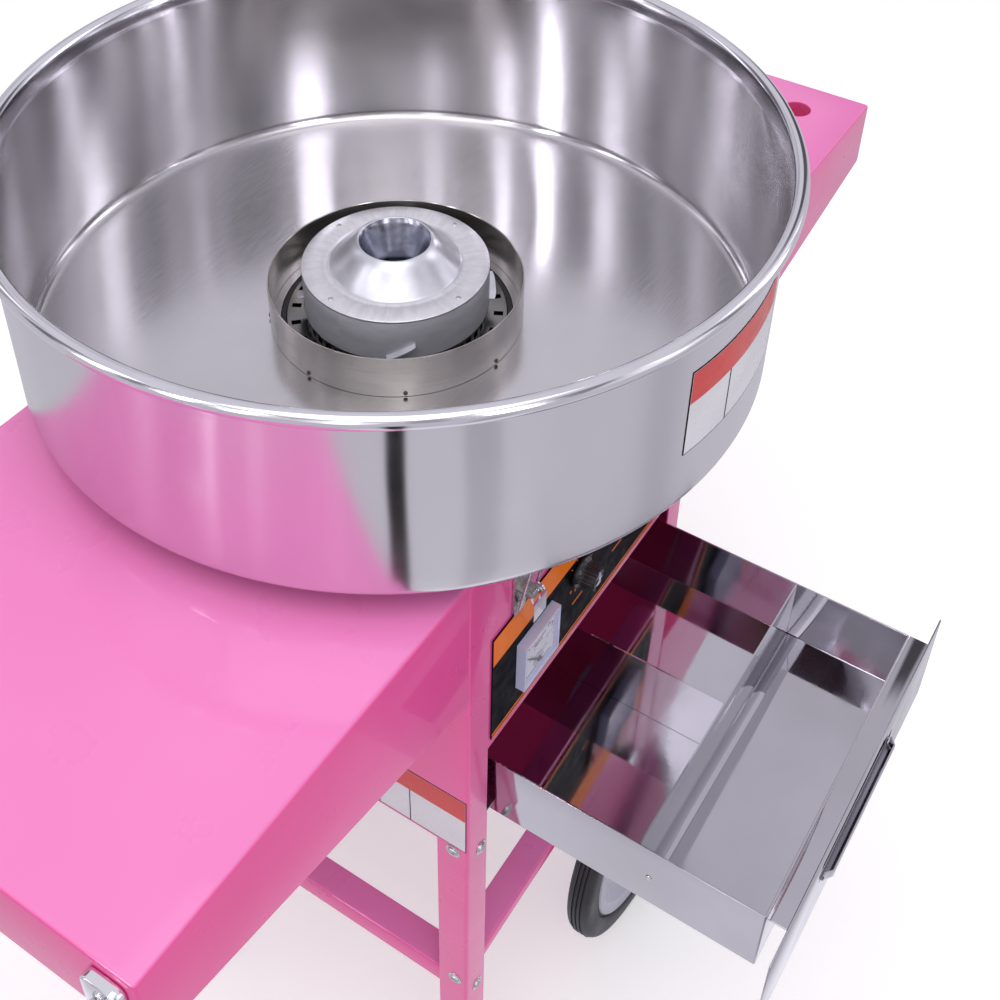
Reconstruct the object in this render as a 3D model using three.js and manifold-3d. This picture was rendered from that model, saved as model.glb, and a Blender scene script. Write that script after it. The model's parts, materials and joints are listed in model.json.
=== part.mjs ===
// Candy floss cart: a stainless bowl and spinning head on a powder-coated sheet-metal
// cabinet with two side trays, a drawer, angle-iron legs, two wheels and a push handle.
// Millimetres, +Z up. X runs to the cart's right, the control panel faces -Y.
import * as THREE from 'three';
import { mergeVertices } from 'three/addons/utils/BufferGeometryUtils.js';
import Module from 'manifold-3d';

const wasm = await Module();
wasm.setup();

// ---- driving dimensions ----
const GAP = 0.3; // clearance between neighbouring pieces
const SHEET = 1.5; // painted steel sheet
const THIN = 1.2; // stainless sheet

const CABINET = { halfX: 158, halfY: 163.5, top: 746, bottom: 452, lip: 24, cornerFoot: 22, footLength: 26 };
const TRAY = { leftEnd: -435, rightEnd: 475, rootDepth: 114, endDepth: 57, flange: 25 };
const CONE_HOLE = { radius: 12, inset: 42, pitch: 114 };
const PANEL = { halfX: 133.7, outerY: -162.9, bottom: 551, flange: 14 };
const FASCIA = { halfX: 131, bottom: 559, top: 664, thickness: 0.9 };
const METER = { x: -79.5, z: 606, half: 22.5, depth: 7.2, barrel: 19.5, holeRadius: 20.3 };
const KNOB = { x: -18, z: 620, radius: 12.5, height: 15.5, shaft: 3, holeRadius: 4.5 };
const SWITCH = { x: 60, z: 612, halfX: 11, halfZ: 14, tilt: THREE.MathUtils.degToRad(8) };
const INLET = { x: 60, z: 640, halfX: 14, halfZ: 10.5 };

const LEG = { width: 26, thickness: 2.5, top: 468, wheelEndBottom: 118 };
const SHOE = { base: 6, height: 32, block: 31, overhang: 2.3 };
const SIDE_RAIL = { bottom: 231, top: 252, width: 25 };
const FRONT_RAIL = { bottom: 252.3, top: 266, width: 24.9 };
const WHEEL = { x: 142, radius: 145, rim: 119.7, halfWidth: 12.5, centreY: 179, axle: 6, bore: 6.4 };

const DRAWER = { halfX: 129, depth: 285, height: 61, bottom: 472, frontY: -382, standoff: 15 };
const DRAWER_FRONT = { halfX: 156, below: 28 };
const PULL = { halfX: 66, bottom: 21, top: 35, reach: 6.5, lipTop: 30 };
const CROSS_DIVIDER = 104; // from the outside of the drawer front

const BOWL = { base: 766.8, wallRadius: 250.5, fillet: 9, beadRadius: 255, bead: 5, beadZ: 910, hole: 80 };
const SHIELD = { radius: 87, height: 33.2 };
const HEAD = { base: 778, radius: 63.3, height: 31, blades: 4, bladeStart: 38, bladeReach: 4.8, bladeHalf: 10 };
const FUNNEL = { mouth: 24, top: 52.3, throat: 12, throatBottom: 24 };
const SHAFT = { radius: 6, top: 16, bottom: -60 };
const MOTOR = { radius: 46, bottom: 620, flange: 62, flangeTop: 744.2 };
const VENT_PLATE = { radius: 76, top: 769, hole: 19, slots: 8 };
const BOWL_SEAT = { inner: 100, outer: 112 };
const TOP_HOLE = 46; // motor opening in the cabinet top

const HANDLE = { y: 146, z: 712, x: -480, bar: 8, bend: 16, start: -449.6 };
const LATCH = {
  x: 97, pinY: -9.6, pinZ: 681, pin: 1.5, bottom: 664, plateTop: 706, plateHalf: 11, plateY: -1.9,
  earInner: 4.5, earOuter: 6, nose: 3.1, cheekInner: 6.3, cheekOuter: 7.6, coverY: -14.5,
  bailY: -4.6, bailZ: 672, bailHalf: 10.2, bailLength: 80, bailLean: THREE.MathUtils.degToRad(10), wire: 2,
};
const CATCH = { half: 7.5, root: 6, stem: -9, lip: -15, drop: 17, metal: 1.5 };
const VENTS = { count: 8, first: -121, pitch: 16, width: 6, bottom: 562, top: 618 };

const ROUND = 28; // facets round the turned parts
const BOWL_ROUND = 36;
const WHEEL_ROUND = 28;

// ---- finishes ----
const finish = (color, roughness, metalness) => new THREE.MeshStandardMaterial({ color, roughness, metalness });
const PINK = finish(0xef7fc4, 0.25, 0.0);
const MIRROR_STEEL = finish(0xc9c8d2, 0.12, 1.0);
const SATIN_STEEL = finish(0xb4b2ba, 0.35, 1.0);
const CAST_ALUMINIUM = finish(0xc8c9d0, 0.45, 0.9);
const CHROME = finish(0xdadde2, 0.08, 1.0);
const ZINC = finish(0xa8a9ad, 0.4, 1.0);
const BLACK_PLASTIC = finish(0x17171a, 0.45, 0.0);
const WHITE_PLASTIC = finish(0xd9daf0, 0.3, 0.0);
const GREY_PLASTIC = finish(0xb9b8c6, 0.4, 0.0);
const RED_PLASTIC = finish(0xb41414, 0.3, 0.0);
const FASCIA_PRINT = finish(0x1a1b22, 0.35, 0.0);
const CLEAR = finish(0xf2f4ff, 0.05, 0.0);
const RUBBER = finish(0x1c1c20, 0.8, 0.0);
const MOTOR_PAINT = finish(0x3c4046, 0.5, 0.3);
const CERAMIC = finish(0xd8d2c4, 0.8, 0.0);
const BRASS = finish(0xb98a3c, 0.35, 1.0);

// ---- shape helpers ----
function signedVolume(geometry) {
  const position = geometry.attributes.position;
  const index = geometry.index.array;
  const corner = [new THREE.Vector3(), new THREE.Vector3(), new THREE.Vector3()];
  let total = 0;
  for (let i = 0; i < index.length; i += 3) {
    corner.forEach((point, k) => point.fromBufferAttribute(position, index[i + k]));
    total += corner[0].dot(corner[1].clone().cross(corner[2]));
  }
  return total / 6;
}

// Welded copy of a geometry, without collapsed triangles and with its faces pointing out.
function welded(geometry) {
  const bare = geometry.clone();
  bare.deleteAttribute('normal');
  bare.deleteAttribute('uv');
  const merged = mergeVertices(bare, 1e-4);
  const source = merged.index.array;
  const kept = [];
  for (let i = 0; i < source.length; i += 3) {
    const [a, b, c] = [source[i], source[i + 1], source[i + 2]];
    if (a !== b && b !== c && c !== a) kept.push(a, b, c);
  }
  merged.setIndex(kept);
  if (signedVolume(merged) < 0) {
    for (let i = 0; i < kept.length; i += 3) [kept[i], kept[i + 1]] = [kept[i + 1], kept[i]];
    merged.setIndex(kept);
  }
  return merged;
}

function toSolid(geometry) {
  const closed = welded(geometry);
  const vertProperties = new Float32Array(closed.attributes.position.array);
  const triVerts = new Uint32Array(closed.index.array);
  return new wasm.Manifold(new wasm.Mesh({ numProp: 3, vertProperties, triVerts }));
}

function toGeometry(solid) {
  const mesh = solid.getMesh();
  const geometry = new THREE.BufferGeometry();
  geometry.setAttribute('position', new THREE.BufferAttribute(new Float32Array(mesh.vertProperties), 3));
  geometry.setIndex(new THREE.BufferAttribute(new Uint32Array(mesh.triVerts), 1));
  geometry.computeVertexNormals();
  return geometry;
}

const join = (...pieces) => toGeometry(pieces.map(toSolid).reduce((sum, piece) => sum.add(piece)));
const cut = (base, ...tools) => toGeometry(tools.map(toSolid).reduce((rest, tool) => rest.subtract(tool), toSolid(base)));

function box(x0, x1, y0, y1, z0, z1) {
  const geometry = new THREE.BoxGeometry(Math.abs(x1 - x0), Math.abs(y1 - y0), Math.abs(z1 - z0));
  return geometry.translate((x0 + x1) / 2, (y0 + y1) / 2, (z0 + z1) / 2);
}

const AXES = {
  x: [[0, 1, 0], [0, 0, 1], [1, 0, 0]], // outline (y, z) pulled along +X
  y: [[1, 0, 0], [0, 0, 1], [0, -1, 0]], // outline (x, z) pulled along -Y
  z: [[1, 0, 0], [0, 1, 0], [0, 0, 1]], // outline (x, y) pulled along +Z
};

function prism(axis, outline, from, to, holes = []) {
  const shape = new THREE.Shape(outline.map(([a, b]) => new THREE.Vector2(a, b)));
  shape.holes = holes;
  const geometry = new THREE.ExtrudeGeometry(shape, { depth: to - from, bevelEnabled: false, curveSegments: 10 });
  const basis = new THREE.Matrix4().makeBasis(...AXES[axis].map((column) => new THREE.Vector3(...column)));
  const start = { x: [from, 0, 0], y: [0, to, 0], z: [0, 0, from] }[axis];
  return geometry.applyMatrix4(basis).translate(...start);
}

function turned(axis, profile, segments = ROUND) {
  const geometry = new THREE.LatheGeometry(profile.map(([r, h]) => new THREE.Vector2(r, h)), segments);
  if (axis === 'z') geometry.rotateX(Math.PI / 2);
  return welded(geometry);
}

const ring = (axis, inner, outer, low, high, segments = ROUND) =>
  turned(axis, [[inner, low], [outer, low], [outer, high], [inner, high], [inner, low]], segments);

function rod(axis, radius, from, to, segments = 20) {
  const geometry = new THREE.CylinderGeometry(radius, radius, to - from, segments);
  geometry.translate(0, (from + to) / 2, 0);
  if (axis === 'x') geometry.rotateZ(-Math.PI / 2);
  if (axis === 'z') geometry.rotateX(Math.PI / 2);
  return geometry;
}

function circleHole(x, y, radius) {
  const path = new THREE.Path();
  path.absarc(x, y, radius, 0, 2 * Math.PI, true);
  return path;
}

const rectangle = (x0, x1, y0, y1) => [[x0, y0], [x1, y0], [x1, y1], [x0, y1]];

function arcPoints(cx, cy, radius, startDeg, endDeg, steps) {
  return Array.from({ length: steps + 1 }, (_, i) => {
    const angle = THREE.MathUtils.degToRad(startDeg + ((endDeg - startDeg) * i) / steps);
    return [cx + radius * Math.cos(angle), cy + radius * Math.sin(angle)];
  });
}

function place(parent, name, geometry, material) {
  const mesh = new THREE.Mesh(geometry, material);
  mesh.name = name;
  parent.add(mesh);
  return mesh;
}

function group(parent, x, y, z) {
  const child = new THREE.Group();
  child.position.set(x, y, z);
  parent.add(child);
  return child;
}

// ---- cabinet ----
function cabinetSide(side) {
  const { halfX, halfY, top, bottom, lip, cornerFoot, footLength } = CABINET;
  const outline = [
    [halfX, -halfY], [halfX, halfY], [halfX - lip, halfY], [halfX - lip, halfY - SHEET],
    [halfX - SHEET, halfY - SHEET], [halfX - SHEET, SHEET - halfY], [halfX - lip, SHEET - halfY],
    [halfX - lip, -halfY],
  ].map(([x, y]) => [side * x, y]);
  const channel = prism('z', outline, bottom - cornerFoot, top - SHEET - GAP);
  const span = halfY - footLength;
  return cut(channel, box(side * (halfX - 2 * lip), side * (halfX + lip), -span, span, bottom - 60, bottom));
}

function cabinetTop() {
  const { halfX, halfY, top } = CABINET;
  return prism('z', rectangle(-halfX, halfX, -halfY, halfY), top - SHEET, top, [circleHole(0, 0, TOP_HOLE)]);
}

function controlCutters() {
  const reach = { from: PANEL.outerY - 8, to: PANEL.outerY + 8 };
  const round = ({ x, z, holeRadius }, segments) =>
    rod('y', holeRadius, reach.from, reach.to, segments).translate(x, 0, z);
  const halfX = SWITCH.halfX + GAP;
  const halfZ = SWITCH.halfZ + GAP;
  return [
    round(METER, 24),
    round(KNOB, 12),
    box(SWITCH.x - halfX, SWITCH.x + halfX, reach.from, reach.to, SWITCH.z - halfZ, SWITCH.z + halfZ),
  ];
}

function frontPanel() {
  const { halfX, outerY, bottom, flange } = PANEL;
  const top = CABINET.top - SHEET - GAP;
  const innerY = outerY + SHEET;
  const section = [
    [outerY, bottom], [innerY + flange, bottom], [innerY + flange, bottom + SHEET],
    [innerY, bottom + SHEET], [innerY, top], [outerY, top],
  ];
  return cut(prism('x', section, -halfX, halfX), ...controlCutters());
}

function fascia() {
  const { halfX, bottom, top, thickness } = FASCIA;
  const backY = PANEL.outerY - GAP;
  return cut(box(-halfX, halfX, backY - thickness, backY, bottom, top), ...controlCutters());
}

function backPanel() {
  const { halfX, halfY, top, bottom, lip } = CABINET;
  const edge = halfX - lip - GAP;
  const { x, z, halfX: inletX, halfZ: inletZ } = INLET;
  const [inside, outside] = [halfY - 10, halfY + 10];
  const vents = Array.from({ length: VENTS.count }, (_, i) => {
    const left = VENTS.first + i * VENTS.pitch;
    return box(left, left + VENTS.width, inside, outside, VENTS.bottom, VENTS.top);
  });
  const sheet = box(-edge, edge, halfY - SHEET, halfY, bottom, top - SHEET - GAP);
  const socket = box(x - inletX - GAP, x + inletX + GAP, inside, outside, z - inletZ - GAP, z + inletZ + GAP);
  return cut(sheet, socket, ...vents);
}

function tray(side, end, withHoles) {
  const { halfX, halfY, top } = CABINET;
  const root = side * (halfX + GAP);
  const skin = side * SHEET;
  const past = side * 10;
  const below = top - 200;
  const outer = [[root, top], [end, top], [end, top - TRAY.endDepth], [root, top - TRAY.rootDepth]];
  const inner = [
    [root + skin, top - SHEET], [end - skin, top - SHEET], [end - skin, below],
    [root - past, below], [root - past, top - TRAY.flange], [root + skin, top - TRAY.flange],
  ];
  const tools = [prism('y', inner, SHEET - halfY, halfY - SHEET)];
  if (withHoles) {
    for (const row of [-1, 0, 1]) {
      const hole = rod('z', CONE_HOLE.radius, top - 5, top + 5, 24);
      tools.push(hole.translate(end - side * CONE_HOLE.inset, row * CONE_HOLE.pitch, 0));
    }
  }
  return cut(prism('y', outer, -halfY, halfY), ...tools);
}

function addCabinet(cart) {
  place(cart, 'cabinet_side_left', cabinetSide(-1), PINK);
  place(cart, 'cabinet_side_right', cabinetSide(1), PINK);
  place(cart, 'cabinet_top', cabinetTop(), PINK);
  place(cart, 'cabinet_back', backPanel(), PINK);
  place(cart, 'cabinet_front', frontPanel(), PINK);
  place(cart, 'tray_left', tray(-1, TRAY.leftEnd, false), PINK);
  place(cart, 'tray_right', tray(1, TRAY.rightEnd, true), PINK);
}

// ---- control panel ----
const PANEL_FACE = PANEL.outerY - GAP - FASCIA.thickness; // outside of the fascia

function addMeter(cart) {
  const meter = group(cart, METER.x, PANEL_FACE, METER.z);
  const { half, depth, barrel } = METER;
  const wall = 2;
  const floor = -3;
  const inside = half - wall;
  const leaf = inside - GAP;
  const body = join(box(-half, half, -GAP - depth, -GAP, -half, half), rod('y', barrel, -1, 28, 32));
  const pocket = box(-inside, inside, -depth - 5, floor, -inside, inside);
  place(meter, 'meter_case', cut(body, pocket), WHITE_PLASTIC);
  place(meter, 'meter_dial', box(-leaf, leaf, floor - GAP - 0.8, floor - GAP, -leaf, leaf), WHITE_PLASTIC);
  place(meter, 'meter_window', box(-leaf, leaf, -GAP - depth, 1.2 - GAP - depth, -leaf, leaf), CLEAR);

  const pivot = group(meter, 0, -5, -12);
  pivot.rotation.y = -Math.PI / 4; // resting on zero, up and to the left
  const pointer = prism('y', [[-0.9, -5], [0.9, -5], [0.3, 25], [-0.3, 25]], -0.3, 0.3);
  place(pivot, 'meter_needle', join(rod('y', 2.2, -0.4, 0.4, 16), pointer), BLACK_PLASTIC);
}

function addKnob(cart) {
  const knob = group(cart, KNOB.x, PANEL_FACE, KNOB.z);
  const { radius, height, shaft } = KNOB;
  const body = turned('y', [
    [0, 6], [shaft, 6], [shaft, -0.7], [radius, -0.7], [radius, -3], [radius - 2.5, -5],
    [radius - 3, 1 - height], [radius - 4, -height], [0, -height],
  ], 24);
  const pointer = box(-0.8, 0.8, -height - 0.8, 1 - height, 0, radius - 4);
  place(knob, 'heat_knob', join(body, pointer), BLACK_PLASTIC);
  const bore = shaft + 0.5;
  const regulator = [[0, 7], [bore, 7], [bore, 3.2], [15, 3.2], [15, 24], [0, 24]];
  place(knob, 'heat_regulator', turned('y', regulator, 24), BLACK_PLASTIC);
}

function addSwitch(cart) {
  const holder = group(cart, SWITCH.x, PANEL_FACE, SWITCH.z);
  const { halfX, halfZ } = SWITCH;
  const frame = box(-halfX - 2, halfX + 2, -2 - GAP, -GAP, -halfZ - 2, halfZ + 2);
  const body = box(-halfX, halfX, -1, 22, -halfZ, halfZ);
  const pocket = box(1.3 - halfX, halfX - 1.3, -5, 8, 1.7 - halfZ, halfZ - 1.7);
  place(holder, 'switch_housing', cut(join(frame, body), pocket), BLACK_PLASTIC);

  const pivot = group(holder, 0, 1, 0);
  pivot.rotation.x = SWITCH.tilt; // off: lower half pushed in
  const end = halfZ - 2.4;
  const face = [[-4, -end], [-2.6, 0], [-4, end], [0.5, end], [3, 0], [0.5, -end]];
  place(pivot, 'rocker', prism('x', face, 1.6 - halfX, halfX - 1.6), RED_PLASTIC);
}

function addInlet(cart) {
  const inlet = group(cart, INLET.x, CABINET.halfY, INLET.z);
  const { halfX, halfZ } = INLET;
  const body = box(-halfX, halfX, -22, 1, -halfZ, halfZ);
  const flange = box(-halfX - 10, halfX + 10, GAP, 3, -halfZ - 3, halfZ + 3);
  const socket = box(2.5 - halfX, halfX - 2.5, -16, 5, 2.5 - halfZ, halfZ - 2.5);
  place(inlet, 'power_inlet', cut(join(body, flange), socket), BLACK_PLASTIC);
}

function addControls(cart) {
  place(cart, 'fascia', fascia(), FASCIA_PRINT);
  addMeter(cart);
  addKnob(cart);
  addSwitch(cart);
  addInlet(cart);
}

// ---- frame, wheels and feet ----
const LEG_CORNER = { x: CABINET.halfX - SHEET - GAP, y: CABINET.halfY - SHEET - GAP };

function angleOutline(sideX, sideY, spread = 0) {
  const { width, thickness } = LEG;
  const { x, y } = LEG_CORNER;
  return [
    [x + spread, y + spread], [x - width - spread, y + spread],
    [x - width - spread, y - thickness - spread], [x - thickness - spread, y - thickness - spread],
    [x - thickness - spread, y - width - spread], [x + spread, y - width - spread],
  ].map(([px, py]) => [sideX * px, sideY * py]);
}

function leg(sideX, sideY) {
  const atWheel = sideX > 0;
  const bottom = atWheel ? LEG.wheelEndBottom : SHOE.base + GAP;
  const angle = prism('z', angleOutline(sideX, sideY), bottom, LEG.top);
  if (!atWheel) return angle;
  const axleHole = rod('y', WHEEL.axle + 1, -200, 200).translate(WHEEL.x, 0, WHEEL.radius);
  return cut(angle, axleHole);
}

function shoe(sideY) {
  const x1 = -(LEG_CORNER.x + SHOE.overhang);
  const y1 = sideY * (LEG_CORNER.y + SHOE.overhang);
  const block = box(x1, x1 + SHOE.block, y1, y1 - sideY * SHOE.block, 0, SHOE.height);
  return cut(block, prism('z', angleOutline(-1, sideY, GAP), SHOE.base, SHOE.height + 5));
}

const RAIL_END = { x: LEG_CORNER.x - LEG.thickness - GAP, y: LEG_CORNER.y - LEG.thickness - GAP };

function sideRail(side) {
  const { bottom, top, width } = SIDE_RAIL;
  const outer = side * RAIL_END.x;
  const inner = outer - side * width;
  const end = RAIL_END.y;
  const hollow = box(outer - side * SHEET, inner - side * 5, SHEET - end, end - SHEET, bottom - 5, top - SHEET);
  return cut(box(outer, inner, -end, end, bottom, top), hollow);
}

function crossRail(side) {
  const { bottom, top, width } = FRONT_RAIL;
  const outer = side * RAIL_END.y;
  const inner = outer - side * width;
  const end = RAIL_END.x;
  const hollow = box(SHEET - end, end - SHEET, outer - side * SHEET, inner - side * 5, bottom - 5, top - SHEET);
  return cut(box(-end, end, outer, inner, bottom, top), hollow);
}

function addWheel(cart, name, side) {
  const wheel = group(cart, WHEEL.x, side * WHEEL.centreY, WHEEL.radius);
  const { radius, rim, halfWidth, bore } = WHEEL;
  const disc = [
    [bore, -13], [18, -13], [24, -4], [95, -3], [108, -9], [rim, -9.5],
    [rim, 9.5], [108, 9], [95, 3], [24, 4], [18, 13], [bore, 13], [bore, -13],
  ];
  const seat = rim + GAP;
  const tread = [
    [seat, -10.5], [seat + 4, -halfWidth], [radius - 7, -halfWidth + 0.5], [radius - 1, -7], [radius, 0],
    [radius - 1, 7], [radius - 7, halfWidth - 0.5], [seat + 4, halfWidth], [seat, 10.5], [seat, -10.5],
  ];
  place(wheel, `wheel_disc_${name}`, turned('y', disc, WHEEL_ROUND), GREY_PLASTIC);
  place(wheel, `tyre_${name}`, turned('y', tread, WHEEL_ROUND), RUBBER);
}

function handleBar() {
  const { y, z, x, bar, bend, start } = HANDLE;
  const point = (px, py) => new THREE.Vector3(px, py, z);
  const path = new THREE.CurvePath();
  path.add(new THREE.LineCurve3(point(start, -y), point(x + bend, -y)));
  path.add(new THREE.QuadraticBezierCurve3(point(x + bend, -y), point(x, -y), point(x, bend - y)));
  path.add(new THREE.LineCurve3(point(x, bend - y), point(x, y - bend)));
  path.add(new THREE.QuadraticBezierCurve3(point(x, y - bend), point(x, y), point(x + bend, y)));
  path.add(new THREE.LineCurve3(point(x + bend, y), point(start, y)));
  const section = new THREE.Shape(arcPoints(0, 0, bar, 0, 315, 7).map(([a, b]) => new THREE.Vector2(a, b)));
  return new THREE.ExtrudeGeometry(section, { steps: 30, extrudePath: path, bevelEnabled: false });
}

function handleBracket() {
  const plate = box(-7, 0, -12, 12, -17, 28);
  return join(plate, rod('x', 11, -14, -3));
}

function addFrame(cart) {
  const corners = [['front_left', -1, -1], ['front_right', 1, -1], ['back_left', -1, 1], ['back_right', 1, 1]];
  for (const [name, sideX, sideY] of corners) place(cart, `leg_${name}`, leg(sideX, sideY), PINK);
  place(cart, 'foot_front', shoe(-1), RUBBER);
  place(cart, 'foot_back', shoe(1), RUBBER);
  place(cart, 'rail_left', sideRail(-1), PINK);
  place(cart, 'rail_right', sideRail(1), PINK);
  place(cart, 'rail_front', crossRail(-1), PINK);
  place(cart, 'rail_back', crossRail(1), PINK);

  const axle = group(cart, WHEEL.x, 0, WHEEL.radius);
  place(axle, 'axle', rod('y', WHEEL.axle, -196, 196), ZINC);
  addWheel(cart, 'front', -1);
  addWheel(cart, 'back', 1);

  place(cart, 'handle_bar', handleBar(), CHROME);
  for (const [name, side] of [['front', -1], ['back', 1]]) {
    const bracket = group(cart, TRAY.leftEnd - GAP, side * HANDLE.y, HANDLE.z);
    place(bracket, `handle_bracket_${name}`, handleBracket(), CHROME);
  }
}

// ---- drawer ----
function addDrawer(cart) {
  const drawer = group(cart, 0, DRAWER.frontY, DRAWER.bottom);
  const { halfX, depth, height, standoff } = DRAWER;
  const back = standoff + depth;
  const shell = box(-halfX, halfX, standoff, back, 0, height);
  const inside = box(THIN - halfX, halfX - THIN, standoff + THIN, back - THIN, THIN, height + 5);
  place(drawer, 'drawer_box', cut(shell, inside), MIRROR_STEEL);

  const { halfX: frontX, below } = DRAWER_FRONT;
  const plate = box(-frontX, frontX, 0, THIN, -below, height);
  const hemTop = height - GAP;
  const hem = box(-halfX, halfX, THIN / 2, standoff - GAP, hemTop - THIN, hemTop);
  const slot = box(-PULL.halfX, PULL.halfX, -5, 5, PULL.bottom, PULL.top);
  const scoop = prism('x', [
    [THIN / 2, PULL.bottom - THIN], [-PULL.reach, PULL.bottom - THIN], [-PULL.reach, PULL.lipTop],
    [THIN - PULL.reach, PULL.lipTop], [THIN - PULL.reach, PULL.bottom], [THIN / 2, PULL.bottom],
  ], 4 - PULL.halfX, PULL.halfX - 4);
  place(drawer, 'drawer_front', join(cut(plate, slot), hem, scoop), MIRROR_STEEL);

  const floor = THIN + GAP;
  const reach = halfX - THIN - GAP;
  const crossBack = CROSS_DIVIDER + THIN;
  place(drawer, 'divider_cross', box(-reach, reach, CROSS_DIVIDER, crossBack, floor, height), MIRROR_STEEL);
  place(drawer, 'divider_long', box(-THIN / 2, THIN / 2, crossBack + GAP, back - THIN - GAP, floor, height),
    MIRROR_STEEL);
}

function drawerSlide(side) {
  const outer = side * (CABINET.halfX - SHEET - GAP);
  const inner = side * (DRAWER.halfX - 11);
  const top = DRAWER.bottom - 0.5;
  const low = top - 2;
  const frontY = SHEET + 0.5 - CABINET.halfY;
  const endY = CABINET.halfY - SHEET - 4;
  const web = outer - side * SHEET;
  const section = [[outer, low], [inner, low], [inner, top], [web, top], [web, low + 30], [outer, low + 30]];
  return prism('y', section, frontY, endY);
}

// ---- bowl ----
function bowlProfile() {
  const { base, wallRadius, fillet, beadRadius, bead, beadZ, hole } = BOWL;
  const corner = wallRadius - fillet;
  const rim = beadZ - base;
  const wallMeets = 180 + THREE.MathUtils.radToDeg(Math.acos((beadRadius - wallRadius) / bead));
  return [
    [hole, 0],
    ...arcPoints(corner, fillet, fillet, -90, 0, 2),
    ...arcPoints(beadRadius, rim, bead, wallMeets, 510, 8),
    [wallRadius - THIN, rim + 1.5],
    ...arcPoints(corner, fillet, fillet - THIN, 0, -90, 2),
    [hole, THIN],
    [hole, 0],
  ];
}

function catchHook() {
  const { half, root, stem, lip, drop, metal } = CATCH;
  const section = [
    [root, -GAP], [stem, -GAP], [stem, metal - drop], [lip, metal - drop], [lip, -drop],
    [stem + metal, -drop], [stem + metal, -GAP - metal], [root, -GAP - metal],
  ];
  return prism('x', section, -half, half);
}

function addBowl(cart) {
  const bowl = group(cart, 0, 0, BOWL.base);
  place(bowl, 'bowl', turned('z', bowlProfile(), BOWL_ROUND), MIRROR_STEEL);
  const { radius, height } = SHIELD;
  place(bowl, 'shield_ring', ring('z', radius - THIN, radius, THIN + GAP, height), SATIN_STEEL);
  for (const [name, side] of [['front', -1], ['back', 1]]) {
    const hook = group(bowl, side * LATCH.x, side * -PANEL.outerY, 0);
    hook.rotation.z = side > 0 ? Math.PI : 0;
    place(hook, `bowl_catch_${name}`, catchHook(), ZINC);
  }
}

// ---- spinning head and motor ----
function headCup() {
  const { radius, height, blades, bladeStart, bladeReach, bladeHalf } = HEAD;
  const wall = radius - SHEET;
  const bore = SHAFT.radius + 0.4;
  const cup = turned('z', [
    [bore, -6], [12, -6], [12, 0], [radius, 0], [radius, height], [wall, height],
    [wall, 2], [12, 2], [12, 14], [bore, 14], [bore, -6],
  ]);
  const fins = Array.from({ length: blades }, (_, i) => {
    const fin = box(radius - 1, radius + bladeReach, -bladeHalf, bladeHalf, -0.6, 0.6);
    fin.rotateX(THREE.MathUtils.degToRad(-30));
    fin.translate(0, 0, 8);
    return fin.rotateZ(THREE.MathUtils.degToRad(bladeStart + (360 / blades) * i));
  });
  return join(cup, ...fins);
}

function headCap() {
  const { radius, height } = HEAD;
  const { mouth, top, throat, throatBottom } = FUNNEL;
  const under = height + GAP;
  const disc = height + 2;
  return turned('z', [
    [radius, under], [radius, disc], [46, disc], [31, 46.5], [28, 51], [mouth + 1, top], [22, 48],
    [throat + 1, 30], [throat, throatBottom], [throat + 1.4, throatBottom], [throat + 2.6, 29.4],
    [23.4, 47], [26.2, 49.6], [29.4, 45.4], [43, disc], [45, under], [radius, under],
  ]);
}

function addSpinner(cart) {
  const spinner = group(cart, 0, 0, HEAD.base);
  place(spinner, 'head_cup', headCup(), CAST_ALUMINIUM);
  place(spinner, 'head_cap', headCap(), CAST_ALUMINIUM);
  place(spinner, 'heater_ring', ring('z', 48, 57, 2 + GAP, 24), CERAMIC);
  place(spinner, 'motor_shaft', rod('z', SHAFT.radius, SHAFT.bottom, SHAFT.top, 24), ZINC);
  place(spinner, 'slip_ring', ring('z', SHAFT.radius + 0.4, 15, -28, -13, 24), BRASS);
}

function ventPlate() {
  const { radius, top, hole, slots } = VENT_PLATE;
  const low = CABINET.top + GAP;
  const plate = turned('z', [
    [hole, top - THIN], [radius - THIN, top - THIN], [radius - THIN, low], [radius, low], [radius, top],
    [hole, top], [hole, top - THIN],
  ]);
  const cuts = Array.from({ length: slots }, (_, i) =>
    box(38, 66, -5, 5, top - 5, top + 5).rotateZ((2 * Math.PI * (i + 0.5)) / slots));
  return cut(plate, ...cuts);
}

function motorHousing() {
  const { radius, bottom, flange, flangeTop } = MOTOR;
  const bore = SHAFT.radius + 0.5;
  const boreBottom = HEAD.base + SHAFT.bottom - 2;
  return turned('z', [
    [0, bottom], [30, bottom], [radius, bottom + 8], [radius, flangeTop - 6], [flange, flangeTop - 3],
    [flange, flangeTop], [20, flangeTop], [20, flangeTop - 2], [bore, flangeTop - 2], [bore, boreBottom],
    [0, boreBottom],
  ], 32);
}

function addDrive(cart) {
  place(cart, 'motor', motorHousing(), MOTOR_PAINT);
  place(cart, 'vent_plate', ventPlate(), SATIN_STEEL);
  const { inner, outer } = BOWL_SEAT;
  place(cart, 'bowl_seat', ring('z', inner, outer, CABINET.top + GAP, BOWL.base - GAP), RUBBER);
  place(cart, 'brush_holder', box(15.5, 60, -8, 8, CABINET.top + GAP, HEAD.base - 14), BLACK_PLASTIC);
}

// ---- draw latches that clamp the bowl: the bail's legs stand outside the lever's cheeks ----
const bothSides = (section, inner, outer) => [prism('x', section, -outer, -inner), prism('x', section, inner, outer)];

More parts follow.
